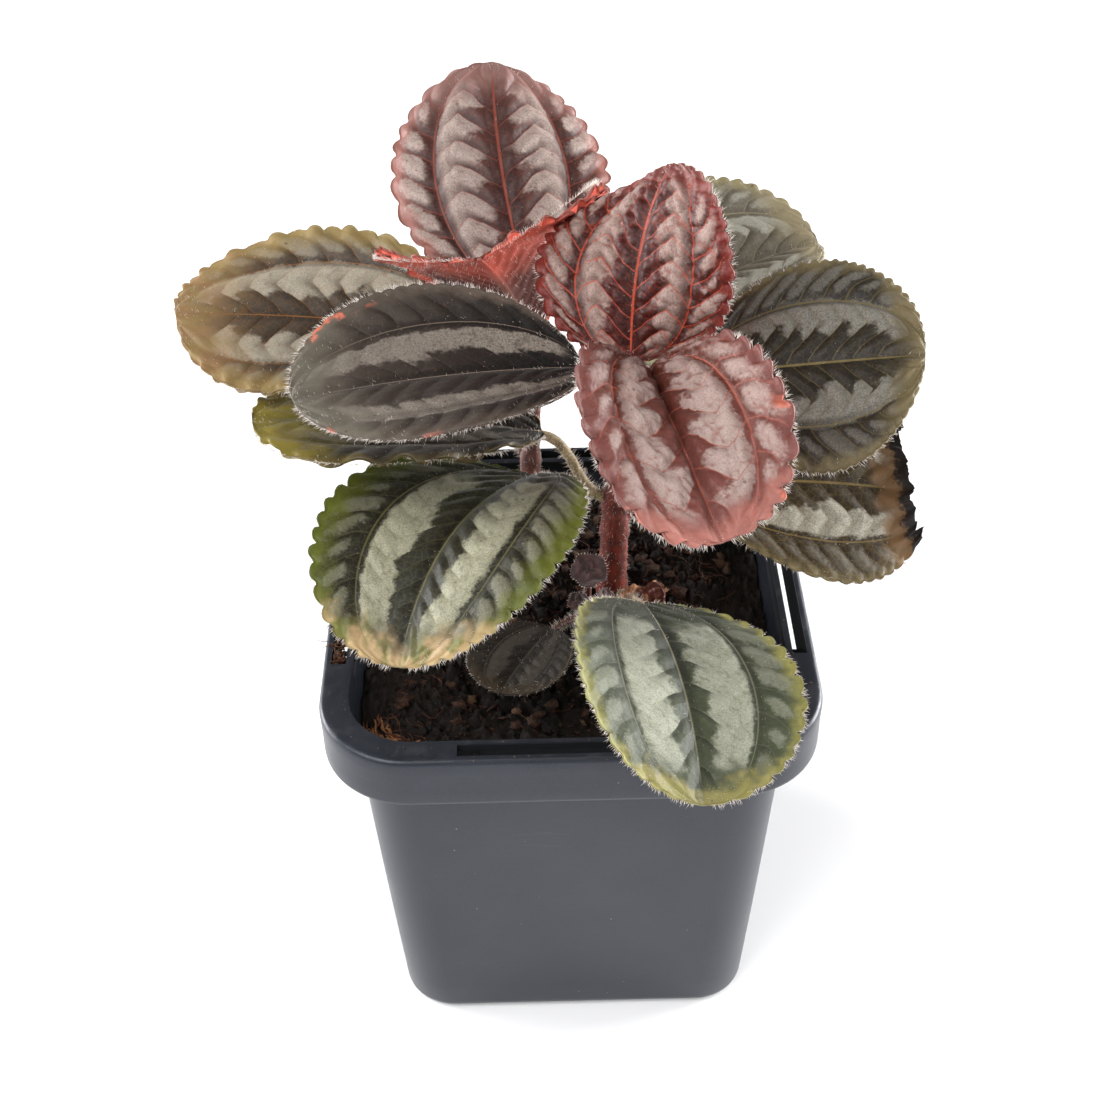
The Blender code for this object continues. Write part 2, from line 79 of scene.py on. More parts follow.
# Pot: half widths and corner radii of its rounded square section, as in the CAD.
POT_HEIGHT = 85.4
RIM_HALF = 45.0
RIM_RADIUS = 16.7
SKIRT_HEIGHT = 11.0
RIM_THICKNESS = 1.5
WALL = 1.2
BODY_TOP_HALF = 39.0
BODY_TOP_RADIUS = 10.6
BASE_HALF = 35.1
BASE_RADIUS = 10.0
BASE_FILLET = 2.5
FLOOR = 1.6
MOUTH_HALF = 39.6
MOUTH_RADIUS = 11.8
CORNER_STEPS = 18
SLOT_INNER = 40.8
SLOT_OUTER = 43.5
SLOT_HALF_LENGTH = 20.0
RIB_PLACES = (-17.0, 17.0)
RIB_THICKNESS = 0.9
RIB_OUTLINE = ((39.3, 84.4), (44.3, 84.4), (44.3, 77.0), (39.6, 82.6))
DRAIN_DIAMETER = 7.0
DRAIN_PLACE = 21.0
DRAIN_SIDES = 32

# Inner wall of the pot: heights, half widths and corner radii.
INNER_HEIGHTS = (FLOOR, 40.0, 74.0, 79.0, 83.0)
INNER_HALVES = (33.9, 36.0, 37.8, 38.5, 39.5)
INNER_RADII = (8.8, 9.2, 9.5, 10.2, 11.6)

# Soil: its mesh, and the loose matter on it and in the left slot.
SOIL_LEVEL = 78.0
SOIL_SKIRT = 70.0
SOIL_CRUMB = 1.1
SOIL_RINGS = 106
SOIL_SIDES = 264
GRAINS = 2700
FIBRES = 420
CHIPS = 70
STRAWS = 46
SLOT_FIBRES = 80
SLOT_GRAINS = 150
RIM_GRAINS = 46
SLOT_DIRT_Y = (-19.5, 2.0)

# Stems: axis points, bottom first, then the radius at foot and top.
STEMS = {
    "stem_front": (
        (
            (8.6, 4, 67), (8.8, 4, 80), (9.1, 3, 92), (9.4, 1.2, 106),
            (10.8, -5, 119), (11.9, -10.2, 127.5), (12, -11, 133),
        ),
        3.2,
        1.6,
    ),
    "stem_back": (
        (
            (-8, 17, 67), (-7.6, 17, 80), (-7, 16.4, 92), (-6.2, 16, 106),
            (-5.6, 18.6, 117), (-5.8, 20.2, 124), (-5.8, 20.4, 127.5),
        ),
        2.4,
        1.3,
    ),
    "basal_shoot": (((3.6, -2, 67), (3.8, -2.2, 80), (4, -3, 91)), 1.1, 0.7),
}

# Young leaves of the basal shoot: centre, radius, facing, and the height that a stalk starts at.
YOUNG_LEAVES = (
    ((4.2, -3.4, 92.0), 3.4, (0.0, -0.5, 1.0), None),
    ((2.0, -5.4, 86.0), 1.9, (-0.2, -0.6, 1.0), 83.0),
    ((7.2, -4.6, 86.6), 1.6, (0.3, -0.5, 1.0), 84.0),
)

# Folded leaves of the growing tip: heading, length and lean.
BUDS = ((35, 8.5, 0.25), (215, 7.0, 0.35), (120, 4.5, 0.2))

# Dead leaves on the soil: points along a side, half the thickness, then centre, radius, facing and look.
DRIED_STEPS = 26
DRIED_HALF_THICKNESS = 0.14
DRIED_BITS = (
    ((12.5, -1.0, 82.2), 3.0, (0.5, -0.5, 1.0), 0), ((16.2, -0.5, 81.3), 3.4, (-0.3, -0.6, 1.0), 1),
    ((14.0, -4.0, 80.4), 2.2, (0.2, -0.9, 0.8), 2), ((11.6, -3.0, 81.8), 1.7, (0.0, -0.4, 1.0), 1),
    ((17.6, 3.5, 80.6), 2.0, (0.6, 0.2, 1.0), 0), ((6.0, 8.0, 80.4), 2.4, (-0.4, 0.3, 1.0), 2),
)

# Stage: half the width of the floor.
FLOOR_HALF = 6000.0

# Lamps: name, place in metres, height aimed at, power and width.
LAMPS = (
    ("key", (-0.5, -0.45, 0.9), 0.10, 9.0, 0.7),
    ("fill", (0.6, -0.6, 0.6), 0.08, 3.0, 0.9),
    ("left_edge", (-0.85, 0.3, 0.25), 0.05, 12.0, 0.5),
    ("right_edge", (0.85, 0.35, 0.25), 0.05, 18.0, 0.5),
)


class Leaf:
    """One blade: its place and bends as in the CAD, then its relief, margin, hairs and colours.

    Angles are in degrees and lengths in millimetres. node is the height at which the stalk leaves the
    stem. silver_inner and silver_outer are the columns that a silver band runs between, which lopsided
    shifts on one side and taper turns along the leaf. valley is the column that the painted shade in the
    grooves by the cross veins ends at, strip the width of the dark strip along the ribs, net and crease the
    strength of the fine veins and of the lines between bubbles, which are partly red and partly painted
    shade, and dim the painted shade towards the base.
    """

    droop, sweep, roll, twist = 11, 0, 4, 0
    cup_left, cup_right, fold, fold_tip = 8, 8, 6, 0
    skew, arch = 0.1, 0.1
    cells, teeth, tooth = 10, 22, 0.8
    relief, bullate, wave, frill = 0.75, 0.12, 0.5, 0.0
    silver_inner, silver_outer, serration = 0.3, 0.54, 0.14
    silver_from, taper, lopsided = 0.02, 0.0, 0.0
    blotches, speckle = 0.8, 0.35
    margin_width, tip_start, mottle = 0.16, 0.84, 0.5
    shade_and_strip_amount, valley, strip, outer_shade = 0.8, 0.52, 0.07, 1.0
    vein_width, cross_lines, net = 1.0, 0.5, 0.16
    cell_size, crease, shine = 2.1, 0.25, 0.35
    base_shade, under_base_shade, dim = 0.0, 0.0, 0.0
    coral, burnt = 0.0, 0.0
    margin_hairs, top_hairs, under_hairs = 420, 420, 260
    stalk = under_margin_and_glow = None

    def __init__(self, base, heading, pitch, length, width, stem, node, **more):
        self.base, self.heading, self.pitch = base, heading, pitch
        self.length, self.width, self.stem, self.node = length, width, stem, node
        for key, value in more.items():
            setattr(self, key, value)


LEAVES = {
    "leaf_back_crown": Leaf(
        (-6, 25, 136), 108, 41, 47, 42, "stem_back", 125, sweep=-18, roll=-9, twist=16, cup_left=-19,
        cup_right=-13, fold=2, fold_tip=-16, skew=0.0,
        cells=9, teeth=15, tooth=1.4, relief=1.0, silver_inner=0.2, silver_outer=0.57, serration=0.22,
        blotches=1.0, margin_width=0.2, tip_start=0.78, mottle=0.2, shade_and_strip_amount=1.0, strip=0.12,
        cell_size=2.6, crease=0.2,
        dark="#4b2d26", groove_and_shade="#2e120d", silver="#a6978e", margin="#945f55", tip="#866660",
        vein="#8c3f2e", under="#8a4438",
    ),
    # Its lower margin is red, with a painted glow of light shining through it.
    "leaf_back_cupped": Leaf(
        (-5.5, 18.5, 130.5), 239, 63, 30, 47, "stem_back", 122, droop=15, sweep=4, roll=34, twist=-5,
        cup_left=27, cup_right=15, fold=36, fold_tip=11, skew=0.16,
        teeth=24, tooth=2.0, relief=0.35, wave=2.6, frill=0.8, margin_width=0.42, tip_start=0.45,
        cross_lines=0.05, net=0.05, under_base_shade=1.0, margin_hairs=1300, under_hairs=700,
        dark="#5c2c24", groove_and_shade="#4c211a", silver="#a08078", margin="#8a3a30", tip="#8f5046",
        vein="#8c3c30", under="#592318", under_margin_and_glow="#e0604c",
    ),
    "leaf_front_crown": Leaf(
        (11, -9, 143), 84, 79, 33, 36, "stem_front", 130, droop=45, sweep=-30, roll=-1, twist=-37,
        cup_left=20, cup_right=7, fold_tip=-11, skew=-0.08,
        cells=9, teeth=19, tooth=1.5, relief=0.8, bullate=0.9, silver_inner=0.26, silver_outer=0.58,
        serration=0.08, blotches=1.0, speckle=0.3, strip=0.13, cross_lines=0.7, net=0.1, cell_size=2.6,
        crease=0.45, margin_hairs=700, top_hairs=600,
        dark="#46110a", groove_and_shade="#2a0804", silver="#9c867d", margin="#6d1f17", tip="#7c4c47",
        vein="#b5462d", under="#863c34",
    ),
    "leaf_front_arching": Leaf(
        (13.5, -13, 143), -86, 20, 42, 37, "stem_front", 130, droop=51, sweep=17, roll=-5, twist=5,
        cup_left=45, cup_right=21, fold=30, fold_tip=6, skew=0.02,
        cells=7, teeth=15, tooth=2.4, relief=1.5, bullate=0.75, silver_inner=0.22, silver_outer=0.56,
        serration=0.2, blotches=0.85, speckle=0.15, margin_width=0.2, tip_start=0.9, mottle=0.3,
        shade_and_strip_amount=0.5, valley=0.35, strip=0.13, cross_lines=0.6, net=0.1, cell_size=2.2,
        crease=0.35, base_shade=1.0, dim=0.5, coral=0.9, margin_hairs=800, top_hairs=700,
        dark="#7c4c46", groove_and_shade="#4c1c0d", silver="#b3a199", margin="#6b3b35", tip="#b9786c",
        vein="#a85440", under="#8c403a",
    ),
    "leaf_left_upper": Leaf(
        (3, -10, 142), 190, 7, 48, 41, "stem_front", 128, droop=6, sweep=10, roll=-2, twist=8,
        cup_left=3, cup_right=27, fold=15, fold_tip=-2, skew=0.05,
        teeth=30, tooth=0.4, relief=0.4, bullate=0.1, silver_inner=0.24, silver_outer=0.52,
        serration=0.0, lopsided=-0.16, blotches=0.12, speckle=0.45, margin_width=0.2, tip_start=0.72,
        shade_and_strip_amount=0.5, valley=0.3, vein_width=0.6, cross_lines=0.15, net=0.04, shine=0.18,
        base_shade=1.0, coral=0.8, margin_hairs=800, top_hairs=350,
        dark="#3e342e", groove_and_shade="#0b0807", silver="#82796f", margin="#5d5248", tip="#6c665a",
        vein="#7a6c60", under="#736a5a",
    ),
    "leaf_left_back": Leaf(
        (-18, 20, 130), 173, 7, 52, 43, "stem_back", 121, droop=-3, sweep=22, roll=-21, twist=11,
        cup_left=19, cup_right=2, fold=26, fold_tip=-17, skew=0.07,
        tooth=1.0, relief=0.45, frill=0.4, silver_inner=0.24, silver_outer=0.6, serration=0.08,
        blotches=0.5, speckle=0.2, margin_width=0.34, tip_start=0.7, mottle=0.6, shade_and_strip_amount=0.65,
        vein_width=0.55, crease=0.2,
        dark="#473e34", groove_and_shade="#221a10", silver="#a59d8c", margin="#94804f", tip="#94744f",
        vein="#96602f", under="#857555",
    ),
    "leaf_right_back": Leaf(
        (14, 24, 125), 44, 19, 41.5, 45, "stem_back", 121, sweep=-37, roll=3, twist=-10, cup_left=24,
        cup_right=-5, fold=25, fold_tip=14, skew=0.03,
        tooth=1.0, relief=0.6,
        dark="#5e584d", groove_and_shade="#3f392e", silver="#959488", margin="#877d58", tip="#8f8366",
        vein="#8f8568", under="#777056",
    ),
    "leaf_right_upper": Leaf(
        (23, -7, 138), -4, 8, 37, 41, "stem_front", 128, droop=-4, sweep=-9, roll=31, twist=-18,
        cup_left=0, cup_right=-12, fold=1, fold_tip=4, skew=0.08,
        teeth=30, relief=0.95, silver_inner=0.4, silver_outer=0.63, serration=0.12, taper=-0.15,
        blotches=0.5, speckle=0.5, valley=0.4, cross_lines=0.4, net=0.1, crease=0.2, shine=0.3,
        dark="#26211b", groove_and_shade="#201a14", silver="#86837a", margin="#75694a", tip="#776a4a",
        vein="#7d6f45", under="#755c4c",
    ),
    "leaf_right_lower": Leaf(
        (23, -3, 112), -1, 3, 43, 39, "stem_front", 104, droop=17, sweep=3, roll=27, cup_left=-1,
        fold_tip=-5,
        relief=0.55, silver_inner=0.26, silver_outer=0.56, serration=0.05, blotches=0.15,
        shade_and_strip_amount=0.6, valley=0.3, cross_lines=0.3, net=0.22, burnt=1.0,
        dark="#3a2f1c", groove_and_shade="#1b140d", silver="#b6b3a4", margin="#6f6240", tip="#7d6238",
        vein="#8a7444", under="#6a6250",
    ),
    "leaf_left_lower": Leaf(
        (-4, 1, 121), 186, 15, 51, 34, "stem_front", 106, sweep=3, twist=2, cup_left=6, cup_right=-1,
        fold=9, fold_tip=-3,
        teeth=17, tooth=1.2, relief=0.5, wave=1.6, frill=0.7, blotches=0.2, tip_start=0.72, valley=0.3,
        cross_lines=0.25, net=0.06, shine=0.2, base_shade=0.6, margin_hairs=1000, under_hairs=700,
        dark="#1c1813", groove_and_shade="#0d0a07", silver="#4f4a43", margin="#5c4f2c", tip="#86782f",
        vein="#6f6a58", under="#635d48", stalk="olive",
    ),
    "leaf_left_front": Leaf(
        (-5, -4, 115), 227, 22, 51, 46, "stem_back", 100, droop=57, sweep=30, roll=24, twist=-8,
        cup_left=-27, cup_right=32, fold=7, fold_tip=10, skew=-0.12,
        cells=12, tooth=1.4, relief=0.7, silver_inner=0.22, silver_outer=0.56, serration=0.03,
        silver_from=0.16, blotches=0.45, speckle=0.3, margin_width=0.26, tip_start=0.88, mottle=0.9,
        shade_and_strip_amount=0.75, valley=0.34, cross_lines=0.3, dim=0.5, margin_hairs=900,
        dark="#232214", groove_and_shade="#121008", silver="#a09e86", margin="#5c6318", tip="#c0a276",
        vein="#6b6744", under="#6a673e", stalk="tan",
    ),
    "leaf_rim_front": Leaf(
        (14, -5, 85), -76, 24, 55, 41, "stem_front", 82, droop=42, sweep=-13, roll=-19, twist=8,
        cup_left=9, cup_right=6, fold_tip=12, skew=0.04,
        cells=9, teeth=19, tooth=1.4, relief=0.3, bullate=0.05, silver_inner=0.12, silver_outer=0.57,
        serration=0.08, silver_from=0.2, taper=0.06, blotches=0.5, speckle=0.3, margin_width=0.15,
        tip_start=0.94, mottle=0.6, valley=0.34, outer_shade=0.4, vein_width=0.8, cross_lines=0.3,
        net=0.08, base_shade=0.35, dim=0.5, margin_hairs=900,
        dark="#434a35", groove_and_shade="#1a1d17", silver="#9d9f8e", margin="#8f8b4c", tip="#8f8650",
        vein="#77735f", under="#6f6c4c", stalk="tan",
    ),
    # The small leaf's colours, its silver too, are darkened with painted shade, as it lies in shadow by the
    # soil.
    "leaf_soil_small": Leaf(
        (-3, -9, 82.5), 237, 7, 20, 20, "basal_shoot", 81, droop=10, sweep=9, cup_left=15, cup_right=11,
        fold=10, fold_tip=4,
        cells=8, teeth=14, tooth=0.3, relief=0.15, silver_inner=0.22, silver_outer=0.55, serration=0.0,
        blotches=0.35, speckle=0.2, valley=0.3, margin_hairs=260, top_hairs=120, under_hairs=80,
        dark="#17110d", groove_and_shade="#140e0b", silver="#464038", margin="#3c3124", tip="#3f3324",
        vein="#48443a", under="#383329",
    ),
    "leaf_behind_left": Leaf(
        (-12, 24, 111), 140, 18, 42, 34, "stem_back", 104, droop=24, roll=6, fold=8, skew=0.06,
        cells=12, margin_hairs=350, top_hairs=150, under_hairs=150,
        dark="#5e5644", groove_and_shade="#2e2618", silver="#9c998a", margin="#7f7a48", tip="#8f8552",
        vein="#80694a", under="#7a7250",
    ),
    "leaf_behind_right": Leaf(
        (15, 11, 104), 70, 6, 42, 34, "stem_front", 97, droop=16, roll=-4, fold=8, skew=0.06,
        cells=12, margin_hairs=350, top_hairs=150, under_hairs=150,
        dark="#56543f", groove_and_shade="#29271a", silver="#a09f8c", margin="#7c7c48", tip="#8c8a50",
        vein="#7f7a58", under="#7a7650",
    ),
}


# Meshes


class Shape:
    """Points in millimetres with faces, a material number a face, and named values a point."""

    def __init__(self):
        self.points, self.faces, self.marks, self.values = [], [], [], {}
        self.count = 0

    def add(self, points, faces, mark=0, **values):
        """Adds points and the groups of faces on them. mark is one number, or a list with one a group."""
        points = np.asarray(points, float).reshape(-1, 3)
        for key, value in values.items():
            self.values.setdefault(key, []).append((self.count, np.asarray(value, float)))
        self.points.append(points)
        groups = faces if isinstance(faces, list) else [faces]
        self.faces += [np.asarray(group, int) + self.count for group in groups]
        self.marks += mark if isinstance(mark, list) else [mark] * len(groups)
        self.count += len(points)

    def build(self, name, materials):
        mesh = bpy.data.meshes.new(name)
        points = np.vstack(self.points) * MM
        mesh.vertices.add(len(points))
        mesh.vertices.foreach_set("co", points.ravel())
        loops = np.concatenate([group.ravel() for group in self.faces])
        sizes = np.concatenate([np.full(len(group), group.shape[1]) for group in self.faces])
        marks = np.concatenate([np.full(len(g), m) for g, m in zip(self.faces, self.marks)])
        mesh.loops.add(len(loops))
        mesh.loops.foreach_set("vertex_index", loops.astype(np.int32))
        mesh.polygons.add(len(sizes))
        starts = np.concatenate([[0], np.cumsum(sizes)[:-1]])
        mesh.polygons.foreach_set("loop_start", starts.astype(np.int32))
        mesh.polygons.foreach_set("material_index", marks.astype(np.int32))
        for look in materials:
            mesh.materials.append(look)
        mesh.update(calc_edges=True)
        for key, pieces in self.values.items():
            wide = pieces[0][1].ndim == 2
            whole = np.zeros((len(points), 2) if wide else len(points))
            for start, value in pieces:
                whole[start:start + len(value)] = value
            if wide:
                mesh.uv_layers.new(name=key).data.foreach_set("uv", whole[loops].ravel())
            else:
                layer = mesh.attributes.new(key, "FLOAT", "POINT")
                layer.data.foreach_set("value", whole.astype(np.float32))
        mesh.validate()
        mesh.shade_smooth()
        obj = placed(name, mesh)
        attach(obj, "root")
        return obj


def placed(name, data):
    """A new object in the scene."""
    obj = bpy.data.objects.new(name, data)
    bpy.context.collection.objects.link(obj)
    return obj


def grid(rows, columns, flip=False, closed=False, start=0):
    """Quads between rows of points. A closed grid also joins its last column to the first."""
    r, c = np.meshgrid(np.arange(rows - 1), np.arange(columns if closed else columns - 1), indexing="ij")
    a = start + r * columns + c
    b = start + r * columns + (c + 1) % columns
    quads = np.stack([a, a + columns, b + columns, b], -1).reshape(-1, 4)
    return quads[:, ::-1] if flip else quads


def sheet_faces(rows, columns, flip=False):
    """Upper side, lower side and edge of a thin sheet, whose lower points follow its upper ones."""
    k = np.arange(rows * columns).reshape(rows, columns)
    ring = np.concatenate([k[0], k[1:, -1], k[-1, -2::-1], k[-2:0:-1, 0]])
    after = np.roll(ring, -1)
    edge = np.stack([after, ring, ring + k.size, after + k.size], -1)
    upper = grid(rows, columns, flip)
    return [upper, upper[:, ::-1] + k.size, edge[:, ::-1] if flip else edge]


def unit(vectors):
    return vectors / np.maximum(np.linalg.norm(vectors, axis=-1, keepdims=True), 1e-9)


def sheet_normals(points):
    """Directions square to a grid of points."""
    return unit(np.cross(np.gradient(points, axis=0), np.gradient(points, axis=1)))


def smooth_path(points, per_span):
    """Points on a Catmull-Rom curve through the given ones."""
    p = np.asarray(points, float)
    p = np.vstack([2 * p[0] - p[1], p, 2 * p[-1] - p[-2]])
    out = []
    for i in range(1, len(p) - 2):
        for t in np.linspace(0, 1, per_span, endpoint=False):
            out.append(
                0.5 * (2 * p[i] + (p[i + 1] - p[i - 1]) * t
                + (2 * p[i - 1] - 5 * p[i] + 4 * p[i + 1] - p[i + 2]) * t**2
                + (3 * p[i] - p[i - 1] - 3 * p[i + 1] + p[i + 2]) * t**3)
            )
    out.append(p[-2])
    return np.array(out)


def add_tube(shape, path, radii, sides, mark=0, rough=0.0, rng=None):
    """A round tube along a path, with closed ends."""
    path = np.asarray(path, float)
    tangents = unit(np.gradient(path, axis=0))
    side = np.cross(tangents[0], (0.3, 0.2, 1.0) if abs(tangents[0][2]) < 0.9 else (1, 0, 0))
    points = []
    turns = np.arange(sides) * 2 * pi / sides
    for centre, tangent, radius in zip(path, tangents, radii):
        side = side - tangent * side.dot(tangent)
        side = side / np.linalg.norm(side)
        up = np.cross(tangent, side)
        ring = np.cos(turns)[:, None] * side + np.sin(turns)[:, None] * up
        reach = radius * (1 + (rough * rng.standard_normal(sides)[:, None] if rough else 0))
        points.append(centre + reach * ring)
    points = np.vstack(points + [path[:1], path[-1:]])
    end = len(path) * sides
    k = np.arange(sides)
    after = (k + 1) % sides
    foot = np.stack([np.full(sides, end), after, k], -1)
    top = np.stack([np.full(sides, end + 1), end - sides + k, end - sides + after], -1)
    shape.add(points, [grid(len(path), sides, True, closed=True), foot, top], mark)


def add_hairs(shape, roots, ways, lengths, rng, mark, radius=HAIR_RADIUS, bend=0.25):
    """Thin curved three-sided hairs that stand on their roots."""
    count = len(roots)
    ways = unit(ways)
    side = unit(np.cross(ways, rng.standard_normal((count, 3))))
    other = np.cross(ways, side)
    lengths = lengths[:, None]
    lean = side * (bend * rng.uniform(-1, 1, (count, 1)) * lengths)
    rows = []
    for along, size, pull in ((-0.08, 1.0, 0.0), (0.5, 0.7, 0.35)):
        for k in range(3):
            angle = 2 * pi * k / 3
            ring = radius * size * (cos(angle) * side + sin(angle) * other)
            rows.append(roots + ways * (along * lengths) + lean * pull + ring)
    rows.append(roots + ways * lengths + lean)
    start = np.arange(count)[:, None, None] * len(rows)
    quads = start + np.array([[0, 1, 4, 3], [1, 2, 5, 4], [2, 0, 3, 5]])
    tips = start + np.array([[3, 4, 6], [4, 5, 6], [5, 3, 6]])
    shape.add(np.stack(rows, 1), [quads.reshape(-1, 4), tips.reshape(-1, 3)], mark)


def add_coat(shape, path, radii, span, count, lengths, lean, rng, mark, sunk, radius=HAIR_RADIUS):
    """Hairs all round a tube between two numbers of its path's points. lean tilts them along it."""
    at = rng.uniform(*span, count)
    low = at.astype(int)
    step = path[low + 1] - path[low]
    tangent = unit(step)
    ways = rng.standard_normal((count, 3))
    ways = unit(ways - tangent * (ways * tangent).sum(1)[:, None])
    roots = path[low] + step * (at - low)[:, None] + ways * (radii[low] * sunk)[:, None]
    add_hairs(shape, roots, ways + lean * tangent, rng.uniform(*lengths, count), rng, mark, radius)


# Materials


def linear(code):
    """A #rrggbb colour as linear values with an alpha of 1."""
    parts = [int(code[i:i + 2], 16) / 255 for i in (1, 3, 5)]
    parts = [v / 12.92 if v <= 0.04045 else ((v + 0.055) / 1.055) ** 2.4 for v in parts]
    return (*parts, 1.0)


class Value:
    """The output of a node. Sums, products and steps of it add further nodes."""

    def __init__(self, graph, socket):
        self.graph, self.socket = graph, socket

    def math(self, operation, first, second=0.0):
        return self.graph.add("ShaderNodeMath", first, second, operation=operation)

    def __add__(self, other):
        return self.math("ADD", self, other)

    def __radd__(self, other):
        return self.math("ADD", other, self)

    def __sub__(self, other):
        return self.math("SUBTRACT", self, other)

    def __rsub__(self, other):
        return self.math("SUBTRACT", other, self)

    def __mul__(self, other):
        return self.math("MULTIPLY", self, other)

    def __abs__(self):
        return self.math("ABSOLUTE", self)

    def of(self, operation):
        """This value after an operation that takes one value."""
        return self.math(operation, self)

    def least(self, other):
        return self.math("MINIMUM", self, other)

    def most(self, *others):
        result = self
        for other in others:
            result = self.math("MAXIMUM", result, other)
        return result

    def step(self, low, high, top=1.0, bottom=0.0):
        """A smooth step from bottom to top as this value goes from low to high."""
        values = (self, low, high, bottom, top)
        return self.graph.add("ShaderNodeMapRange", *values, interpolation_type="SMOOTHSTEP")

    def fall(self, low, high, top=1.0, bottom=0.0):
        """A smooth step down from top to bottom as this value goes from low to high."""
        return self.step(low, high, bottom, top)


class Graph:
    """Builds a node material. Sizes are in millimetres, and colours are #rrggbb codes or values."""

    def __init__(self, name, **constants):
        self.material = bpy.data.materials.new(name)
        self.material.use_nodes = True
        self.tree = self.material.node_tree
        self.shader = self.tree.nodes["Principled BSDF"]
        for key, value in constants.items():
            self.shader.inputs[key.replace("_", " ")].default_value = value
        self.places = self.add("ShaderNodeTexCoord", out="Object")

    def put(self, socket, value):
        if isinstance(value, Value):
            self.tree.links.new(value.socket, socket)
        else:
            socket.default_value = linear(value) if isinstance(value, str) else value

    def add(self, kind, *values, out=0, named=None, **settings):
        """An output of a new node whose settings, first inputs and named inputs are set."""
        made = self.tree.nodes.new(kind)
        for key, value in settings.items():
            setattr(made, key, value)
        for socket, value in zip(made.inputs, values):
            self.put(socket, value)
        for key, value in (named or {}).items():
            self.put(made.inputs[key], value)
        return Value(self, made.outputs[out])

    def mix(self, factor, a, b):
        return self.add("ShaderNodeMix", out=2, named={0: factor, 6: a, 7: b}, data_type="RGBA")

    def over(self, colour, *layers):
        """Lays (share, colour) layers over a colour, the first one lowest."""
        for share, layer in layers:
            colour = self.mix(share, colour, layer)
        return colour

    def noise(self, size, detail=2.0, rough=0.5, stretch=None):
        """Noise with features about size millimetres across."""
        places = self.places
        if stretch:
            places = self.add("ShaderNodeMapping", places, named={"Scale": stretch})
        named = {"Scale": 1 / (size * MM), "Detail": detail, "Roughness": rough}
        return self.add("ShaderNodeTexNoise", places, out="Fac", named=named)

    def cells(self, size, feature="F1"):
        """Distance from the middle, or from the edge, of cells about size millimetres across."""
        named = {"Scale": 1 / (size * MM)}
        return self.add("ShaderNodeTexVoronoi", self.places, out="Distance", named=named, feature=feature)

    def split(self, vector):
        made = self.add("ShaderNodeSeparateXYZ", vector)
        return [Value(self, socket) for socket in made.socket.node.outputs]

    def attribute(self, name):
        return self.add("ShaderNodeAttribute", out="Fac", attribute_name=name)

    def finish(self, colour, roughness, height=None, distance=0.15, strength=0.7):
        """Links colour, roughness and a bump of the height, and returns the material."""
        self.put(self.shader.inputs["Base Color"], colour)
        self.put(self.shader.inputs["Roughness"], roughness)
        if height is not None:
            named = {"Distance": distance * MM, "Strength": strength, "Height": height}
            self.put(self.shader.inputs["Normal"], self.add("ShaderNodeBump", named=named))
        return self.material


class LeafGraph(Graph):
    """A graph with a leaf's own places.

    across runs from 0 to 1 over the blade, column from 0 at the midrib to 1 at the margin, share from 0
    at the base to 1 at the tip, and within from 0 to 1 between two cross veins. near is the distance
    to the nearest cross vein in millimetres, and beside the distance to the side vein in columns.
    """

    def __init__(self, name, leaf, **constants):
        super().__init__(name, Sheen_Roughness=0.4, **constants)
        self.leaf = leaf
        self.across, self.share, _ = self.split(self.add("ShaderNodeUVMap", uv_map="leaf_uv"))
        self.column = abs(self.across * 2.0 - 1.0)
        self.phase = self.attribute("cross")
        self.within = self.phase.of("FRACT")
        self.near = self.within.least(1.0 - self.within) * (leaf.length / leaf.cells)
        self.beside = abs(self.column - SIDE_VEIN)


def leaf_silver(g, patchy, ragged, grain, puff):
    """Share of silver: a band on each side of the midrib, and a blotch in each margin cell."""
    leaf = g.leaf
    named = {"W": g.phase.of("FLOOR") + (g.across * 2.0).of("FLOOR") * 37.0}
    chance = g.add("ShaderNodeTexWhiteNoise", out="Value", named=named, noise_dimensions="1D") - 0.5
    shift = g.across.step(0.45, 0.6, -leaf.lopsided)
    inner = leaf.silver_inner + leaf.serration / 2 + g.within * -leaf.serration + patchy * 0.26
    inner = inner + g.share * leaf.taper + ragged * 0.12 + chance * 0.10 + shift
    outer = leaf.silver_outer + patchy * 0.14 + ragged * 0.09 + shift
    band = (g.column - inner).step(-0.02, 0.045) * (g.column - outer).fall(-0.02, 0.015)
    off_across = (g.column - 0.79) * (1 / 0.13)
    off_along = (g.within - 0.52) * (1 / 0.4)
    off = (off_across * off_across + off_along * off_along).of("SQRT")
    off = off + patchy * 1.3 + ragged * 1.1 + chance * 0.7
    ends = g.share + patchy * 0.12
    silver = band.most(off.fall(0.6, 1.1, leaf.blotches))
    silver = silver * ends.step(leaf.silver_from, leaf.silver_from + 0.07) * ends.fall(0.84, 0.93)
    # The silver thins with the speckle, and in the creases between bubbles as part of their painted shade.
    return silver * grain.step(0.25, 0.6, 1.0, 1 - leaf.speckle) * puff.step(0.1, 0.6, 1.0, 1 - leaf.crease)


def leaf_shade_and_rib_strips(g):
    """Share of the painted shade in the grooves beside each cross vein and in the outer panel, and of the
    dark strips along the midrib and side vein.
    """
    leaf = g.leaf
    # Painted shade on the tip side of each cross vein, inside the side vein and in the outer panel.
    valley = g.within.fall(0.02, 0.42) * g.within.step(0.0, 0.03)
    valley = valley * g.column.fall(leaf.valley - 0.24, leaf.valley)
    outer_panel_shade = g.within.fall(0.02, 0.36) * g.column.step(SIDE_VEIN, SIDE_VEIN + 0.03)
    outer_panel_shade = outer_panel_shade * g.column.fall(0.74, 0.9, leaf.outer_shade)
    by_rib = g.column.fall(leaf.strip * 0.7, leaf.strip * 1.6)
    by_rib = by_rib.most(g.beside.fall(leaf.strip * 0.4, leaf.strip, 0.85))
    return valley.most(outer_panel_shade, g.share.fall(0.35, 0.95, 1.0, 0.35) * by_rib)


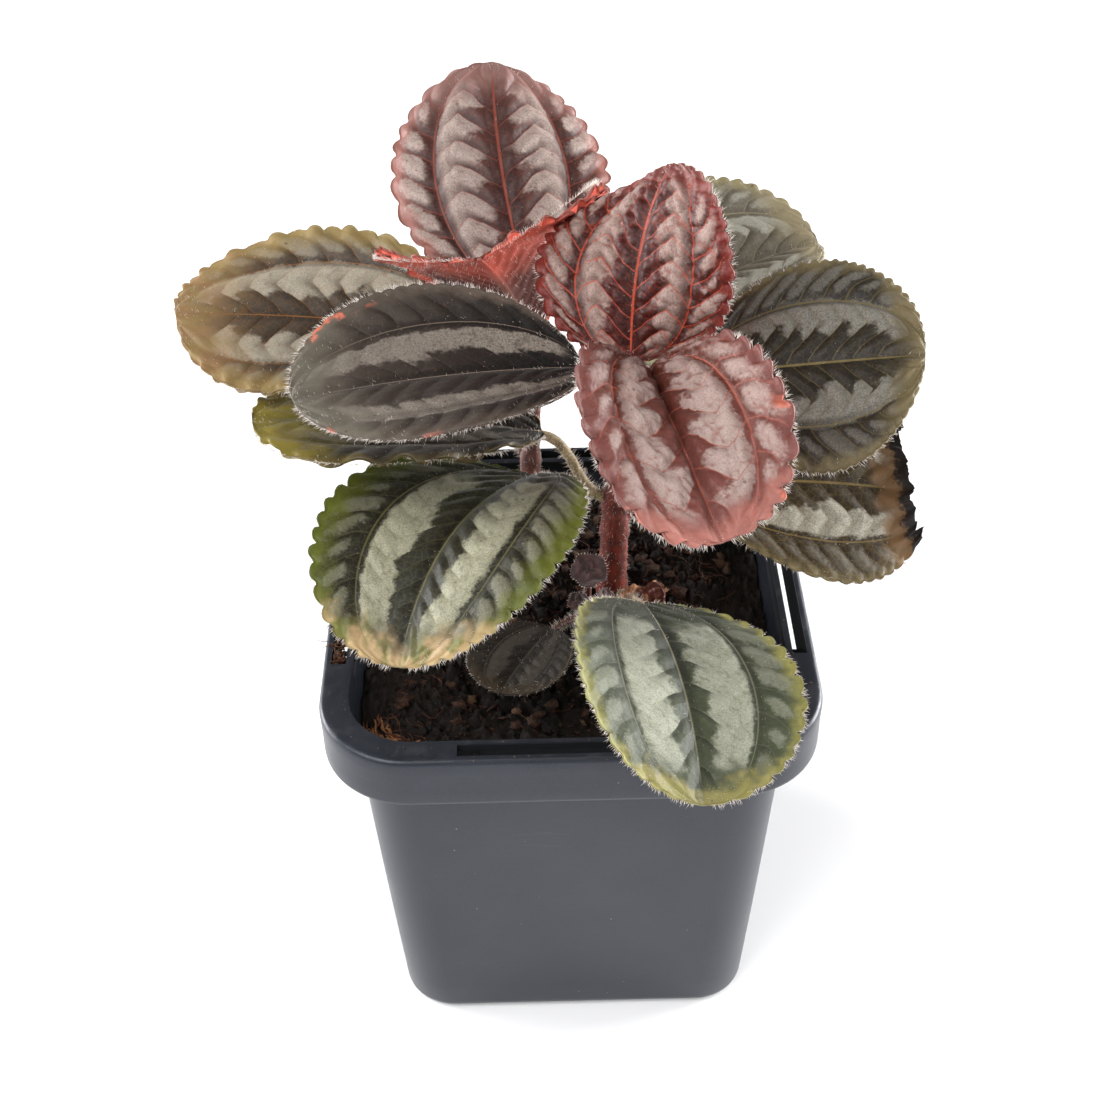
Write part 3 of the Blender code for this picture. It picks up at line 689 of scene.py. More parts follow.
def leaf_top_veins(g):
    """Share of vein colour: cross veins, midrib and side veins, fading at the tip."""
    leaf, thin = g.leaf, g.leaf.vein_width
    cross = g.near.fall(0.05 * thin, 0.2 * thin, leaf.cross_lines) * g.column.fall(0.9, 0.99)
    middle = (g.column * (leaf.width / 2)).fall(0.12 * thin, 0.36 * thin)
    sides = (g.beside * (leaf.width / 2)).fall(0.06 * thin, 0.26 * thin, 0.8)
    return cross.most(middle, sides) * g.share.fall(0.88, 0.97)


def leaf_top_material(name, leaf):
    """Upper face: dark tissue, silver bands and blotches between the veins, tinted margin and tip, with
    painted shade in the grooves, in the creases and towards the base.
    """
    g = LeafGraph(name, leaf, Sheen_Weight=0.05, Specular_IOR_Level=leaf.shine)
    patchy = g.noise(3.2, 3.0) - 0.5
    ragged = g.noise(0.7, 4.0, 0.65) - 0.5
    grain = g.noise(0.28, 2.0, 0.7)
    puff = g.attribute("puff")
    silver = leaf_silver(g, patchy, ragged, grain, puff)
    colour = g.over(
        g.mix(patchy.step(-0.25, 0.25), leaf.dark, g.mix(0.35, leaf.dark, leaf.groove_and_shade)),
        (silver, g.mix(grain.step(0.3, 0.75), g.mix(0.3, leaf.silver, leaf.dark), leaf.silver)),
        # Painted shade in the grooves, and the dark strips along the ribs.
        (leaf_shade_and_rib_strips(g) * leaf.shade_and_strip_amount, leaf.groove_and_shade),
        # Lines between the bubbles: partly red, partly painted shade in the creases.
        (puff.fall(0.05, 0.45, leaf.crease), g.mix(0.55, leaf.groove_and_shade, leaf.vein)),
    )
    # Painted shade towards the base of the blade, sparing the silver; dim then darkens all of it there.
    if leaf.base_shade:
        shadow = (g.share + patchy * 0.3).fall(0.1, 0.75, leaf.base_shade)
        colour = g.mix(shadow * (1.0 - silver), colour, leaf.groove_and_shade)
    if leaf.dim:
        colour = g.mix((g.share + patchy * 0.25).fall(0.05, 0.6, leaf.dim), colour, leaf.groove_and_shade)

    rim = (g.column + patchy * 0.25 + ragged * 0.1).step(1 - leaf.margin_width, 1.02)
    tip = (g.share + patchy * 0.2 + g.column * 0.1).step(leaf.tip_start, 1.02)
    fading = g.noise(4.5, 3.0).step(0.42, 0.6, leaf.mottle)
    colour = g.over(colour, (rim * 0.85, leaf.margin), (tip * 0.8, g.mix(fading, leaf.tip, leaf.margin)))
    if leaf.coral:
        bits = (g.noise(5.0, 2.0) + ragged * 0.2).step(0.58, 0.66, leaf.coral)
        colour = g.mix(bits * g.column.step(0.86, 0.95) * g.share.step(0.55, 0.75), colour, "#e0785e")

    net = g.cells(1.3, "DISTANCE_TO_EDGE")
    colour = g.over(
        colour,
        (leaf_top_veins(g), g.mix(g.share.step(0.0, 0.9), leaf.vein, g.mix(0.35, leaf.vein, leaf.dark))),
        (net.fall(0.0, 0.09, leaf.net), leaf.vein),
        (g.cells(1.1).fall(0.04, 0.09, 0.32), "#cfc6bd"),
        ((g.cells(4.3) + ragged * 0.06).fall(0.05, 0.09, 0.6), "#4a3026"),
    )
    if leaf.burnt:
        burn = g.attribute("burn")
        scorched = (burn + patchy * 0.8).step(0.1, 0.5, 0.9)
        black = (burn + ragged * 0.5 + patchy * 0.3).step(0.6, 0.8)
        colour = g.over(colour, (scorched, "#77593a"), (black, "#1b1512"))
    height = grain * 0.35 + net * (0.5 + leaf.bullate) + g.near * 0.4 + g.noise(1.2, 3.0) * 0.5
    return g.finish(colour, 0.42 + grain * 0.2 + silver * 0.12, height, 0.16)


def leaf_under_material(name, leaf):
    """Lower face: paler, streaked, with raised veins, painted shade towards the base, and a margin colour
    that holds a painted glow on the cupped leaf.
    """
    g = LeafGraph(name, leaf, Sheen_Weight=0.1, Specular_IOR_Level=0.3)
    patchy = g.noise(3.0, 3.0) - 0.5
    grain = g.noise(0.35, 3.0, 0.7)
    colour = g.mix(grain.step(0.2, 0.8), g.mix(0.35, leaf.under, leaf.groove_and_shade), leaf.under)
    colour = g.mix(patchy.step(-0.3, 0.3, 0.3), colour, leaf.silver)
    # Painted shade towards the base of the lower face.
    if leaf.under_base_shade:
        colour = g.mix((g.share + patchy * 0.3).fall(0.15, 0.9, leaf.under_base_shade), colour, leaf.groove_and_shade)
    lines = g.near.fall(0.08, 0.35, leaf.cross_lines)
    lines = lines.most(g.column.fall(0.01, 0.035), g.beside.fall(0.006, 0.024, 0.8))
    rim = (g.column + patchy * 0.2).step(1 - leaf.margin_width, 1 - leaf.margin_width / 3)
    rim = rim.most((g.share + patchy * 0.2).step(leaf.tip_start, 1.0))
    colour = g.over(
        colour,
        (lines * 0.6, g.mix(0.3, leaf.vein, "#d8c8b4")),
        # Margin colour; on the cupped leaf it is red with a painted glow of light shining through.
        (rim * 0.85, leaf.under_margin_and_glow or leaf.margin),
    )
    height = grain * 0.4 + lines + g.cells(1.3, "DISTANCE_TO_EDGE") * -0.5
    return g.finish(colour, 0.5 + grain * 0.2, height)


def stalk_material(name, low, high, sheen=0.1):
    """Streaked skin with darker mottling and pale dots."""
    g = Graph(name, Sheen_Weight=sheen, Specular_IOR_Level=0.35)
    streaks = g.noise(0.9, 3.0, 0.6, stretch=(1, 1, 0.2))
    grain = g.noise(0.3, 2.0, 0.7)
    colour = g.over(
        g.mix(streaks.step(0.3, 0.7), low, high),
        (g.noise(2.4, 3.0).step(0.45, 0.75, 0.5), g.mix(0.5, low, "#2c1712")),
        (g.cells(0.9).fall(0.08, 0.16, 0.5), "#d2bcae"),
    )
    return g.finish(colour, 0.4 + grain * 0.25, streaks * 0.7 + grain * 0.4)


def hair_material():
    g = Graph("plant_hair", Sheen_Weight=0.2, Specular_IOR_Level=0.5)
    return g.finish(g.mix(g.noise(1.5, 1.0), "#f6efe8", "#d9cabf"), 0.35 + g.noise(0.8) * 0.2)


def young_leaf_material():
    g = Graph("young_leaf", Sheen_Weight=0.4, Specular_IOR_Level=0.35)
    grain = g.noise(0.4, 3.0, 0.7)
    mottle = g.noise(1.8, 3.0)
    colour = g.mix(mottle.step(0.35, 0.7), "#3d2c2c", "#5e4242")
    colour = g.mix(grain.step(0.55, 0.8, 0.5), colour, "#8b7570")
    return g.finish(colour, 0.45 + grain * 0.2, grain + mottle, 0.2)


def soil_material(name, low, high, light):
    """Crumbly matter between a low and a high colour, with light specks."""
    g = Graph(name, Specular_IOR_Level=0.3)
    lumps = g.noise(2.2, 4.0, 0.65)
    grain = g.noise(0.45, 4.0, 0.75)
    colour = g.over(
        g.mix(grain.step(0.3, 0.75), low, high),
        (lumps.step(0.5, 0.8, 0.7), g.mix(0.5, low, high)),
        (g.noise(0.6, 2.0, 0.8).step(0.66, 0.78, 0.5), light),
    )
    height = grain * 0.9 + lumps * 0.6 + g.noise(0.2, 2.0, 0.8) * 0.4
    return g.finish(colour, 0.55 + grain * 0.35, height, 0.5, 1.0)


def slot_shadow(g):
    """Mask of the painted shade inside the rim's slots: 1 inside them, below their upper edges, and 0
    elsewhere.
    """
    x, y, z = g.split(g.places)
    from_axis = abs(x).most(abs(y))
    along, inner, outer = SLOT_HALF_LENGTH * MM, MOUTH_HALF * MM, SLOT_OUTER * MM
    top = POT_HEIGHT * MM
    shadow = abs(x).least(abs(y)).fall(along + 0.0003, along + 0.0006)
    shadow = shadow * from_axis.step(inner - 0.0004, inner) * from_axis.fall(outer + 0.001, outer + 0.0013)
    return shadow * z.fall(top - 0.0004, top - 0.0001)


def pot_material():
    """Moulded dark plastic: a fine skin, faint flow marks and scuffs, dust on top and stray specks, and
    painted shade inside the slots.
    """
    g = Graph("pot_plastic", Specular_IOR_Level=0.42, Specular_Tint=(0.9, 0.93, 1.0, 1.0))
    fine = g.noise(0.35, 3.0, 0.6)
    cloudy = g.noise(14.0, 4.0, 0.55)
    flow = g.noise(1.6, 4.0, 0.6, stretch=(0.15, 0.15, 1.0))
    scuff = g.noise(0.8, 3.0, 0.7, stretch=(0.05, 0.05, 1.0))
    scuffs = scuff.step(0.62, 0.75) * cloudy.step(0.5, 0.68)
    upward = g.split(g.add("ShaderNodeNewGeometry", out="Normal"))[2].step(0.35, 0.9)
    dusty = upward * g.noise(5.0, 5.0, 0.7).step(0.48, 0.7)
    motes = g.cells(1.2).fall(0.08, 0.14) * g.noise(9.0, 3.0).step(0.46, 0.62)
    specks = (g.cells(3.1) + fine * 0.05).fall(0.055, 0.075) * g.noise(11.0, 2.0).step(0.5, 0.62)
    slot_painted_shade = slot_shadow(g)
    colour = g.over(
        g.mix(cloudy.step(0.3, 0.7), "#1b1e26", "#23262e"),
        (fine.step(0.35, 0.8, 0.3), "#363940"),
        (scuffs * 0.3, "#62656c"),
        (dusty * 0.08, "#5f554c"),
        (motes * upward * 0.55, "#8a7763"),
        (specks * 0.8, "#a8947c"),
        # Painted shade: the insides of the slots near black.
        (slot_painted_shade * 0.9, "#040405"),
    )
    height = fine * 0.35 + flow * 0.25 + cloudy * 0.6
    roughness = 0.2 + cloudy * 0.16 + scuffs * 0.2 + dusty * 0.3 + fine * 0.08 + slot_painted_shade * 0.7
    return g.finish(colour, roughness, height, 0.09, 0.5)


# Leaves


def midrib(leaf, share):
    """Point, direction, left side and upper side of the midrib at shares of its length."""
    s = np.linspace(0, 1, 61)
    heading = np.radians(leaf.heading + leaf.sweep * s)
    pitch = np.radians(leaf.pitch - leaf.droop * s)
    roll = np.radians(leaf.roll + leaf.twist * s)[:, None]
    along = np.stack([np.cos(heading) * np.cos(pitch), np.sin(heading) * np.cos(pitch), np.sin(pitch)], -1)
    level = np.stack([-np.sin(heading), np.cos(heading), 0 * heading], -1)
    above = np.cross(along, level)
    left = level * np.cos(roll) + above * np.sin(roll)
    upper = above * np.cos(roll) - level * np.sin(roll)
    place = np.zeros((61, 3))
    place[1:] = np.cumsum((along[1:] + along[:-1]) / 2 * leaf.length / 60, axis=0)
    place += leaf.base
    lines = (place, along, left, upper)
    return [np.stack([np.interp(share, s, line[:, k]) for k in range(3)], -1) for line in lines]


def true_share(leaf, turn, column):
    """Share of the length that a place on the blade lies at. The rows arch towards the tip."""
    share = (1 - np.cos(turn)) / 2
    return share + leaf.arch * np.sin(turn) ** 1.5 * np.abs(column) ** 1.2 * (1 - share)


def blade_surface(leaf, turn, column, out=0.0):
    """Points of the blade. turn runs from 0 at the base to pi at the tip, column from -1 to 1 across,
    and out moves a margin point outwards in the plane of the flattened blade."""
    share = true_share(leaf, turn, column)
    across = leaf.width / 2 * np.sin(turn) ** 0.92 * (1 - leaf.skew * np.cos(turn)) * column
    outward = unit(np.stack([-np.cos(turn) * leaf.width, np.sin(turn) * leaf.length], -1))
    share = share + out * outward[..., 0] / leaf.length
    across = across + out * outward[..., 1] * np.sign(column)
    place, _, left, upper = midrib(leaf, share)
    cup = np.radians(np.where(across > 0, leaf.cup_left, leaf.cup_right)) / (leaf.width / 2)
    cup = np.where(np.abs(cup) < 1e-5, 1e-5, cup)
    fold = np.radians(leaf.fold + (leaf.fold_tip - leaf.fold) * share)
    reach = np.abs(across)
    sideways = (np.sin(fold + cup * reach) - np.sin(fold)) / cup
    raised = (np.cos(fold) - np.cos(fold + cup * reach)) / cup
    return place + left * (np.sign(across) * sideways)[..., None] + upper * raised[..., None]


def wobble(seed, x, y, size):
    """Smooth noise of two flat arrays, from -1 to 1."""
    flat = [noise.noise(Vector((a / size, b / size, seed * 7.3))) for a, b in zip(x.ravel(), y.ravel())]
    return np.array(flat).reshape(x.shape)


def bubbles(seed, x, y, size):
    """Rounded pillows, 1 at their tops and 0 in the creases between them."""
    flat = []
    for a, b in zip(x.ravel(), y.ravel()):
        near, next_near = noise.voronoi(Vector((a / size, b / size, seed * 3.1)))[0][:2]
        flat.append(min(1.0, (next_near - near) * 2.2))
    return np.sqrt(np.array(flat)).reshape(x.shape)


def cross_phase(leaf, share, column):
    """Number of the cross vein that a place lies on: it climbs from the midrib, falls back to the
    side vein and climbs again towards the margin."""
    climb = np.interp(np.abs(column), VEIN_COLUMNS, VEIN_CLIMB)
    return leaf.cells * (share - climb * leaf.width / leaf.length * 1.15)


def torn_ends(seed, column_line):
    """Turns at which the columns of the torn blade end."""
    along = column_line * 20
    rag = wobble(seed, along, along * 0, 2.6) + 0.5 * wobble(seed, along, along * 0, 0.8)
    return np.arccos(1 - 2 * np.clip(0.905 + 0.025 * rag - 0.05 * column_line, 0.6, 0.985))


def make_leaf(number, name, leaf):
    seed = number + 1
    rng = np.random.default_rng(1000 + seed)
    coarse = leaf.length < SMALL_LENGTH or name.startswith("leaf_behind")
    rows, columns = (SMALL_ROWS, SMALL_COLUMNS) if coarse else (ROWS, COLUMNS)
    column_line = np.linspace(-1, 1, columns)
    row_share = np.linspace(0, 1, rows)[:, None]
    ends = torn_ends(seed, column_line) if leaf.burnt else np.full(columns, pi - TIP_CUT)
    turn = TIP_CUT + (ends - TIP_CUT) * row_share
    column = np.broadcast_to(column_line, turn.shape).copy()
    reach = np.abs(column)
    side = np.sign(column)

    count = turn / pi * leaf.teeth + 0.31 * side + 0.25 * np.sin(turn * 5.3 + side + seed)
    lobe = np.abs(np.sin(pi * count)) ** 0.6
    size = 0.75 + 0.5 * np.sin(count * 2.1 + seed) ** 2
    rim = np.clip((reach - 0.86) / 0.14, 0, 1) ** 1.2
    out = leaf.tooth * size * (lobe - 0.62) * rim * np.sin(turn) ** 0.35
    if leaf.burnt:
        out = out * (1 - np.clip((row_share - 0.9) * 10, 0, 1))
    middle = blade_surface(leaf, turn, column, out)
    normals = sheet_normals(blade_surface(leaf, turn, column))
    flipped = (normals * midrib(leaf, np.full(turn.shape, 0.5))[3]).sum() < 0
    if flipped:
        normals = -normals

    share = true_share(leaf, turn, column)
    wide = leaf.width / 2 * np.sin(turn) ** 0.92
    x, y = share * leaf.length, wide * column
    sway = 0.16 * wobble(seed, x, y, 6.0) + 0.05 * wobble(seed + 40, x, y, 2.0)
    phase = cross_phase(leaf, share, column) + sway + 0.2 * side
    pillow = np.sin(pi * (phase - np.floor(phase))) ** 0.75
    from_rib = 1 - np.exp(-((wide * reach / 1.3) ** 2))
    from_side = 1 - np.exp(-((wide * np.abs(reach - SIDE_VEIN) / 1.1) ** 2))
    panel = np.where(reach < SIDE_VEIN, 1.0, 0.75)
    calm = np.clip((1 - reach) / 0.12, 0.15, 1) * np.sin(turn) ** 0.5
    quilt = 0.75 * pillow * from_rib * from_side + 0.45 * np.minimum(from_rib, from_side)
    height = leaf.relief * panel * calm * quilt
    puff = bubbles(seed, x + 0.3 * np.abs(y), y, leaf.cell_size)
    height += leaf.bullate * calm * puff * np.minimum(from_rib, 1) * 0.8
    height += leaf.wave * reach**2 * wobble(seed + 80, x, y, 11.0)
    height += 0.35 * leaf.tooth * rim * (lobe - 0.5)
    height += leaf.frill * reach**5 * np.sin(pi * count) * np.sin(turn) ** 0.5
    burn = 0 * turn
    if leaf.burnt:
        curl = np.clip((row_share - 0.86) / 0.14, 0, 1)
        height += curl**2 * (2.2 + 1.0 * wobble(seed + 9, x, y, 3.0))
        burn = np.clip((row_share - 0.80) / 0.2, 0, 1) + burn
    middle = middle + normals * height[..., None]
    half = normals * (HALF_THICKNESS - MARGIN_THINNING * reach**3)[..., None]

    shape = Shape()
    shape.add(
        np.stack([middle + half, middle - half]),
        sheet_faces(rows, columns, flipped),
        [0, 1, 0],
        leaf_uv=np.tile(np.stack([(column + 1) / 2, share], -1).reshape(-1, 2), (2, 1)),
        cross=np.tile(phase.ravel(), 2),
        puff=np.tile(puff.ravel(), 2),
        burn=np.tile(burn.ravel(), 2),
    )
    add_petiole(shape, leaf, rng)
    add_leaf_hairs(shape, leaf, rng)
    faces = [leaf_top_material(name + "_top", leaf), leaf_under_material(name + "_under", leaf)]
    obj = shape.build(name + "_blade", faces + [STALK_LOOKS[leaf.stalk or leaf.stem], HAIR_LOOK])
    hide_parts(name)


def stem_axis(name, height):
    """Axis point and radius of a stem at a height."""
    points, foot, top = STEMS[name]
    path = smooth_path(points, 6)
    z = path[:, 2]
    place = np.array([np.interp(height, z, path[:, 0]), np.interp(height, z, path[:, 1]), height])
    return place, foot + (top - foot) * (height - z[0]) / (z[-1] - z[0])


def add_petiole(shape, leaf, rng):
    """The leaf stalk, from inside the stem to a few millimetres under the blade's midrib."""
    axis, radius = stem_axis(leaf.stem, leaf.node)
    ribs, along, _, upper = midrib(leaf, np.linspace(0.0, PETIOLE_IN_BLADE / leaf.length, 5))
    under = ribs - upper * PETIOLE_RADIUS * 0.45
    level = unit((ribs[0] - axis) * (1, 1, 0))
    start = axis + level * radius * 0.5
    span = np.linalg.norm(under[0] - start)
    bend_a = start + level * span * 0.35
    bend_b = under[0] - along[0] * span * 0.35
    t = np.linspace(0, 1, PETIOLE_STEPS)[:, None]
    path = start * (1 - t) ** 3 + 3 * bend_a * t * (1 - t) ** 2 + 3 * bend_b * t**2 * (1 - t)
    path = np.vstack([path + under[0] * t**3, under[1:]])
    size = 0.75 if leaf.stem == "basal_shoot" else 1.0
    taper = np.concatenate([np.linspace(1.2, 0.95, PETIOLE_STEPS), np.linspace(0.85, 0.35, 4)])
    radii = size * taper * PETIOLE_RADIUS
    add_tube(shape, path, radii, 14, 2, 0.03, rng)
    add_coat(shape, path, radii, (0, PETIOLE_STEPS - 1), int(span * 26), (0.5, 1.3), 0.3, rng, 3, 0.95)


def add_leaf_hairs(shape, leaf, rng):
    """Fringe on the margin, and short hairs on both faces."""
    count = leaf.margin_hairs
    small = leaf.length < SMALL_LENGTH
    turn = np.arccos(rng.uniform(-0.995, 0.995, count)) if small else rng.uniform(0.06, pi - 0.06, count)
    column = rng.choice((-1.0, 1.0), count)
    root = blade_surface(leaf, turn, column, -0.15)
    away = unit(blade_surface(leaf, turn, column, 1.0) - root)
    _, along, _, upper = midrib(leaf, true_share(leaf, turn, column))
    ways = away + 0.35 * along + rng.uniform(-0.35, 0.55, (count, 1)) * upper
    ways = ways + 0.25 * rng.standard_normal((count, 3))
    keep = turn < (2.45 if leaf.burnt else pi)
    lengths = rng.uniform(0.6, 1.5, count) * (0.6 if small else 1.0)
    add_hairs(shape, root[keep], ways[keep], lengths[keep], rng, 3, HAIR_RADIUS * 1.3, 0.35)
    for face, count, lift, low, high in (
        (1, leaf.top_hairs, 0.35, 0.35, 0.8),
        (-1, leaf.under_hairs, 0.2, 0.4, 1.0),
    ):
        turn = rng.uniform(0.2, pi - (0.9 if leaf.burnt else 0.2), count)
        column = rng.uniform(-0.96, 0.96, count)
        root = blade_surface(leaf, turn, column)
        _, along, _, upper = midrib(leaf, true_share(leaf, turn, column))
        nudge = 0.02
        down = blade_surface(leaf, turn + nudge, column) - root
        across = blade_surface(leaf, turn, column + nudge) - root
        normals = unit(np.cross(down, across))
        normals = normals * np.sign((normals * upper).sum(1))[:, None] * face
        ways = normals + 0.5 * along + 0.3 * rng.standard_normal((count, 3))
        lengths = rng.uniform(low, high, count)
        add_hairs(shape, root + normals * lift, ways, lengths, rng, 3, HAIR_RADIUS * 0.8)


# Stems and young growth


def make_stem(name):
    points, foot, top = STEMS[name]
    shoot = name == "basal_shoot"
    rng = np.random.default_rng(len(name) * 31)
    path = smooth_path(points, 16)
    height = path[:, 2]
    share = (height - height[0]) / (height[-1] - height[0])
    radii = foot + (top - foot) * share
    for node in sorted({leaf.node for leaf in LEAVES.values() if leaf.stem == name}):
        radii = radii + (0.15 if shoot else 0.4) * np.exp(-(((height - node) / 1.6) ** 2))
    radii = radii * (1 + 0.03 * np.sin(height * 2.1) + 0.02 * np.sin(height * 5.3))
    shape = Shape()
    add_tube(shape, path, radii, 28, 0, 0.012, rng)
    tip = path[-1] + unit(path[-1] - path[-2]) * np.array([[0.0], [0.7], [1.2]])
    add_tube(shape, tip, [radii[-1], radii[-1] * 0.75, radii[-1] * 0.2], 20)
    count = 220 if shoot else int(15 * (height[-1] - SOIL_LEVEL))
    span = (len(path) * 0.18, len(path) - 1.01)
    add_coat(shape, path, radii, span, count, (0.3, 0.9), -0.15, rng, 1, 0.97, HAIR_RADIUS * 0.8)
    materials = [STALK_LOOKS[name], HAIR_LOOK]
    if shoot:
        materials.append(young_leaf_material())
        add_young_leaves(shape, rng)
    obj = shape.build(name + "_skin", materials)
    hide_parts(name)


def facing_frame(facing):
    """Two directions square to a facing one, and the facing one itself."""
    facing = Vector(facing).normalized()
    across = np.array(facing.orthogonal().normalized())
    facing = np.array(facing)
    return across, np.cross(facing, across), facing


def add_disc(shape, centre, radius, facing, rng, mark):
    """A round young leaf: a shallow dish with a crinkled surface and hairs on its rim."""
    across, other, facing = facing_frame(facing)
    dish, wavy, thick = 0.12, 0.06, 0.35
    rings, sides = 12, 40
    t = np.arange(sides) * 2 * pi / sides
    round_way = np.cos(t)[:, None] * across + np.sin(t)[:, None] * other
    shift = rng.uniform(0, 6, 3)
    layers = []
    for face in (1, -1):
        for k in range(rings + 1):
            r = (k if face > 0 else rings - k) / rings
            reach = radius * r * (
                1 + wavy * np.sin(5 * t + shift[0]) * r + 0.5 * wavy * np.sin(9 * t + shift[1]) * r
            )
            crinkle = 0.05 * radius * np.sin(r * 7 + 2 * np.sin(3 * t + shift[2]))
            rise = dish * radius * r**2 + crinkle + face * thick * (1 - 0.5 * r) / 2
            layers.append(np.asarray(centre) + reach[:, None] * round_way + rise[:, None] * facing)
    shape.add(np.vstack(layers), grid(2 * rings + 2, sides, True, closed=True), mark)
    rim = layers[rings]
    ways = unit(rim - np.asarray(centre)) + 0.4 * facing
    pick = rng.integers(0, sides, int(26 * radius))
    ways = ways[pick] + 0.3 * rng.standard_normal((len(pick), 3))
    add_hairs(shape, rim[pick], ways, rng.uniform(0.25, 0.6, len(pick)), rng, 1)


def add_young_leaves(shape, rng):
    for centre, radius, facing, node in YOUNG_LEAVES:
        add_disc(shape, centre, radius, facing, rng, 2)
        if node is not None:
            start, _ = stem_axis("basal_shoot", node)
            end = np.array(centre)
            path = smooth_path((start, (start + end) / 2 + (0, 0, -0.4), end), 5)
            add_tube(shape, path, [0.5] * len(path), 10)


def make_bud():
    """The growing tip of the front stem: a few tiny folded leaves and their hairs."""
    rng = np.random.default_rng(77)
    shape = Shape()
    top = np.array(STEMS["stem_front"][0][-1], float)
    for heading, length, lean in BUDS:
        way = np.array([cos(radians(heading)) * lean, sin(radians(heading)) * lean, 1.0])
        path = smooth_path((top, top + way * length * 0.5, top + way * length + (0, 0, 0.4)), 8)
        t = np.linspace(0, 1, len(path))
        radii = 0.25 + 0.95 * np.sin(pi * np.clip(t * 0.92 + 0.04, 0, 1)) ** 0.8 * (0.5 + length / 17)
        add_tube(shape, path, radii, 16, 0, 0.05, rng)
        count = int(length * 22)
        low = rng.uniform(1, len(path) - 1.01, count).astype(int)
        ways = unit(rng.standard_normal((count, 3)) * (1, 1, 0.3) + (0, 0, 0.2))
        roots = path[low] + ways * radii[low][:, None] * 0.9
        add_hairs(shape, roots, ways + (0, 0, 0.6), rng.uniform(0.5, 1.2, count), rng, 1)
    obj = shape.build("growing_tip", [stalk_material("bud_skin", "#8c4038", "#b4645a", 0.5), HAIR_LOOK])


def make_dried_bits():
    """Crumpled dead leaves and bracts lying on the soil at the foot of the stems."""
    shape = Shape()
    line = np.linspace(-1, 1, DRIED_STEPS)
    u, v = np.meshgrid(line, line, indexing="ij")
    for centre, radius, facing, look in DRIED_BITS:
        across, other, facing = facing_frame(facing)
        long = radius * u * (1 + 0.1 * np.sin(3 * v))
        wide = radius * 0.8 * v * np.sqrt(np.clip(1.05 - u**2, 0.02, 1))
        crumple = 0.35 * wobble(radius * 3, u * 3, v * 3, 1.4) + 0.5 * np.abs(v) ** 1.5
        rise = radius * (crumple + 0.18 * wobble(7, u * 3, v * 3, 0.5))
        middle = np.asarray(centre) + long[..., None] * across + wide[..., None] * other
        middle = middle + rise[..., None] * facing
        half = sheet_normals(middle) * DRIED_HALF_THICKNESS
        shape.add(np.stack([middle + half, middle - half]), sheet_faces(DRIED_STEPS, DRIED_STEPS), look)
    looks = [
        stalk_material("dried_orange", "#8c5638", "#b98a62"),
        stalk_material("dried_crimson", "#5e2a22", "#86503e"),
        stalk_material("dried_tan", "#7d5a46", "#a48468"),
    ]
    shape.build("dried_leaves", looks)


# Pot and soil


def section(half, radius, height, steps=CORNER_STEPS):
    """One ring of the pot: a square with round corners, seen from above, anticlockwise."""
    points = []
    for quarter in range(4):
        centre = pi / 2 * quarter + pi / 4
        corner = (half - radius) * np.array([np.sign(cos(centre)), np.sign(sin(centre))])
        for step in range(steps + 1):
            angle = pi / 2 * (quarter + step / steps)
            points.append((corner[0] + radius * cos(angle), corner[1] + radius * sin(angle), height))
    return points


def wall_ring(height, inset=0.0):
    """Half width and corner radius of the pot's inner wall at a height."""
    half = np.interp(height, INNER_HEIGHTS, INNER_HALVES)
    radius = np.interp(height, INNER_HEIGHTS, INNER_RADII)
    return half - inset, radius - inset


def arc(start, end, bulge, count):
    """Profile points between two rings, pushed out from the straight line between them."""
    start, end = np.array(start, float), np.array(end, float)
    out = []
    for t in np.linspace(0, 1, count + 1)[1:-1]:
        point = start + (end - start) * t
        push = bulge * 4 * t * (1 - t)
        out.append((point[0] + push, point[1] + push, point[2]))
    return out


def drawn_in(half, radius, *steps):
    """Rings drawn in from a half width and a corner radius. A step is how far in, then the height."""
    return [(half - by, radius - by, height) for by, height in steps]


def pot_rings():
    """The pot's profile, from its foot up the outside, over the rim and down the inside."""
    foot = POT_HEIGHT - SKIRT_HEIGHT
    under = POT_HEIGHT - RIM_THICKNESS
    body_top = (BODY_TOP_HALF, BODY_TOP_RADIUS, foot)
    base_steps = ((BASE_FILLET, 0.0), (1.5, 0.25), (0.7, 0.8), (0.18, 1.6), (0.0, BASE_FILLET))
    rings = drawn_in(BASE_HALF, BASE_RADIUS, *base_steps)
    rings += arc(rings[-1], body_top, 0.12, 12)
    rings += [
        body_top,
        (BODY_TOP_HALF + 0.7, BODY_TOP_RADIUS + 0.5, foot + 5),
        (SLOT_INNER - 0.1, MOUTH_RADIUS + 0.8, under),
        (RIM_HALF - WALL - 0.1, RIM_RADIUS - WALL, under),
    ]
    skirt_steps = ((0.0, foot + 0.3), (-0.25, foot + 0.05), (-0.6, foot))
    rings += drawn_in(RIM_HALF - WALL, RIM_RADIUS - WALL, *skirt_steps)
    rings += drawn_in(RIM_HALF, RIM_RADIUS, (0.35, foot + 0.1), (0.12, foot + 0.4), (0.05, foot + 1.0))
    rings += arc(rings[-1], (RIM_HALF, RIM_RADIUS, POT_HEIGHT - 1.2), -0.05, 4)
    edge_steps = ((0.0, 1.2), (0.1, 0.7), (0.35, 0.3), (0.75, 0.06), (1.3, 0.0))
    rings += drawn_in(RIM_HALF, RIM_RADIUS, *((by, POT_HEIGHT - depth) for by, depth in edge_steps))
    mouth_steps = ((-0.5, 0.0), (-0.15, 0.12), (0.0, 0.5))
    rings += drawn_in(MOUTH_HALF, MOUTH_RADIUS, *((by, POT_HEIGHT - depth) for by, depth in mouth_steps))
    rings += [(*wall_ring(z), z) for z in (83.0, 81.0, 79.0, 74.0, 40.0, 4.0)]
    return rings + [(*wall_ring(FLOOR, 1.5), FLOOR)]


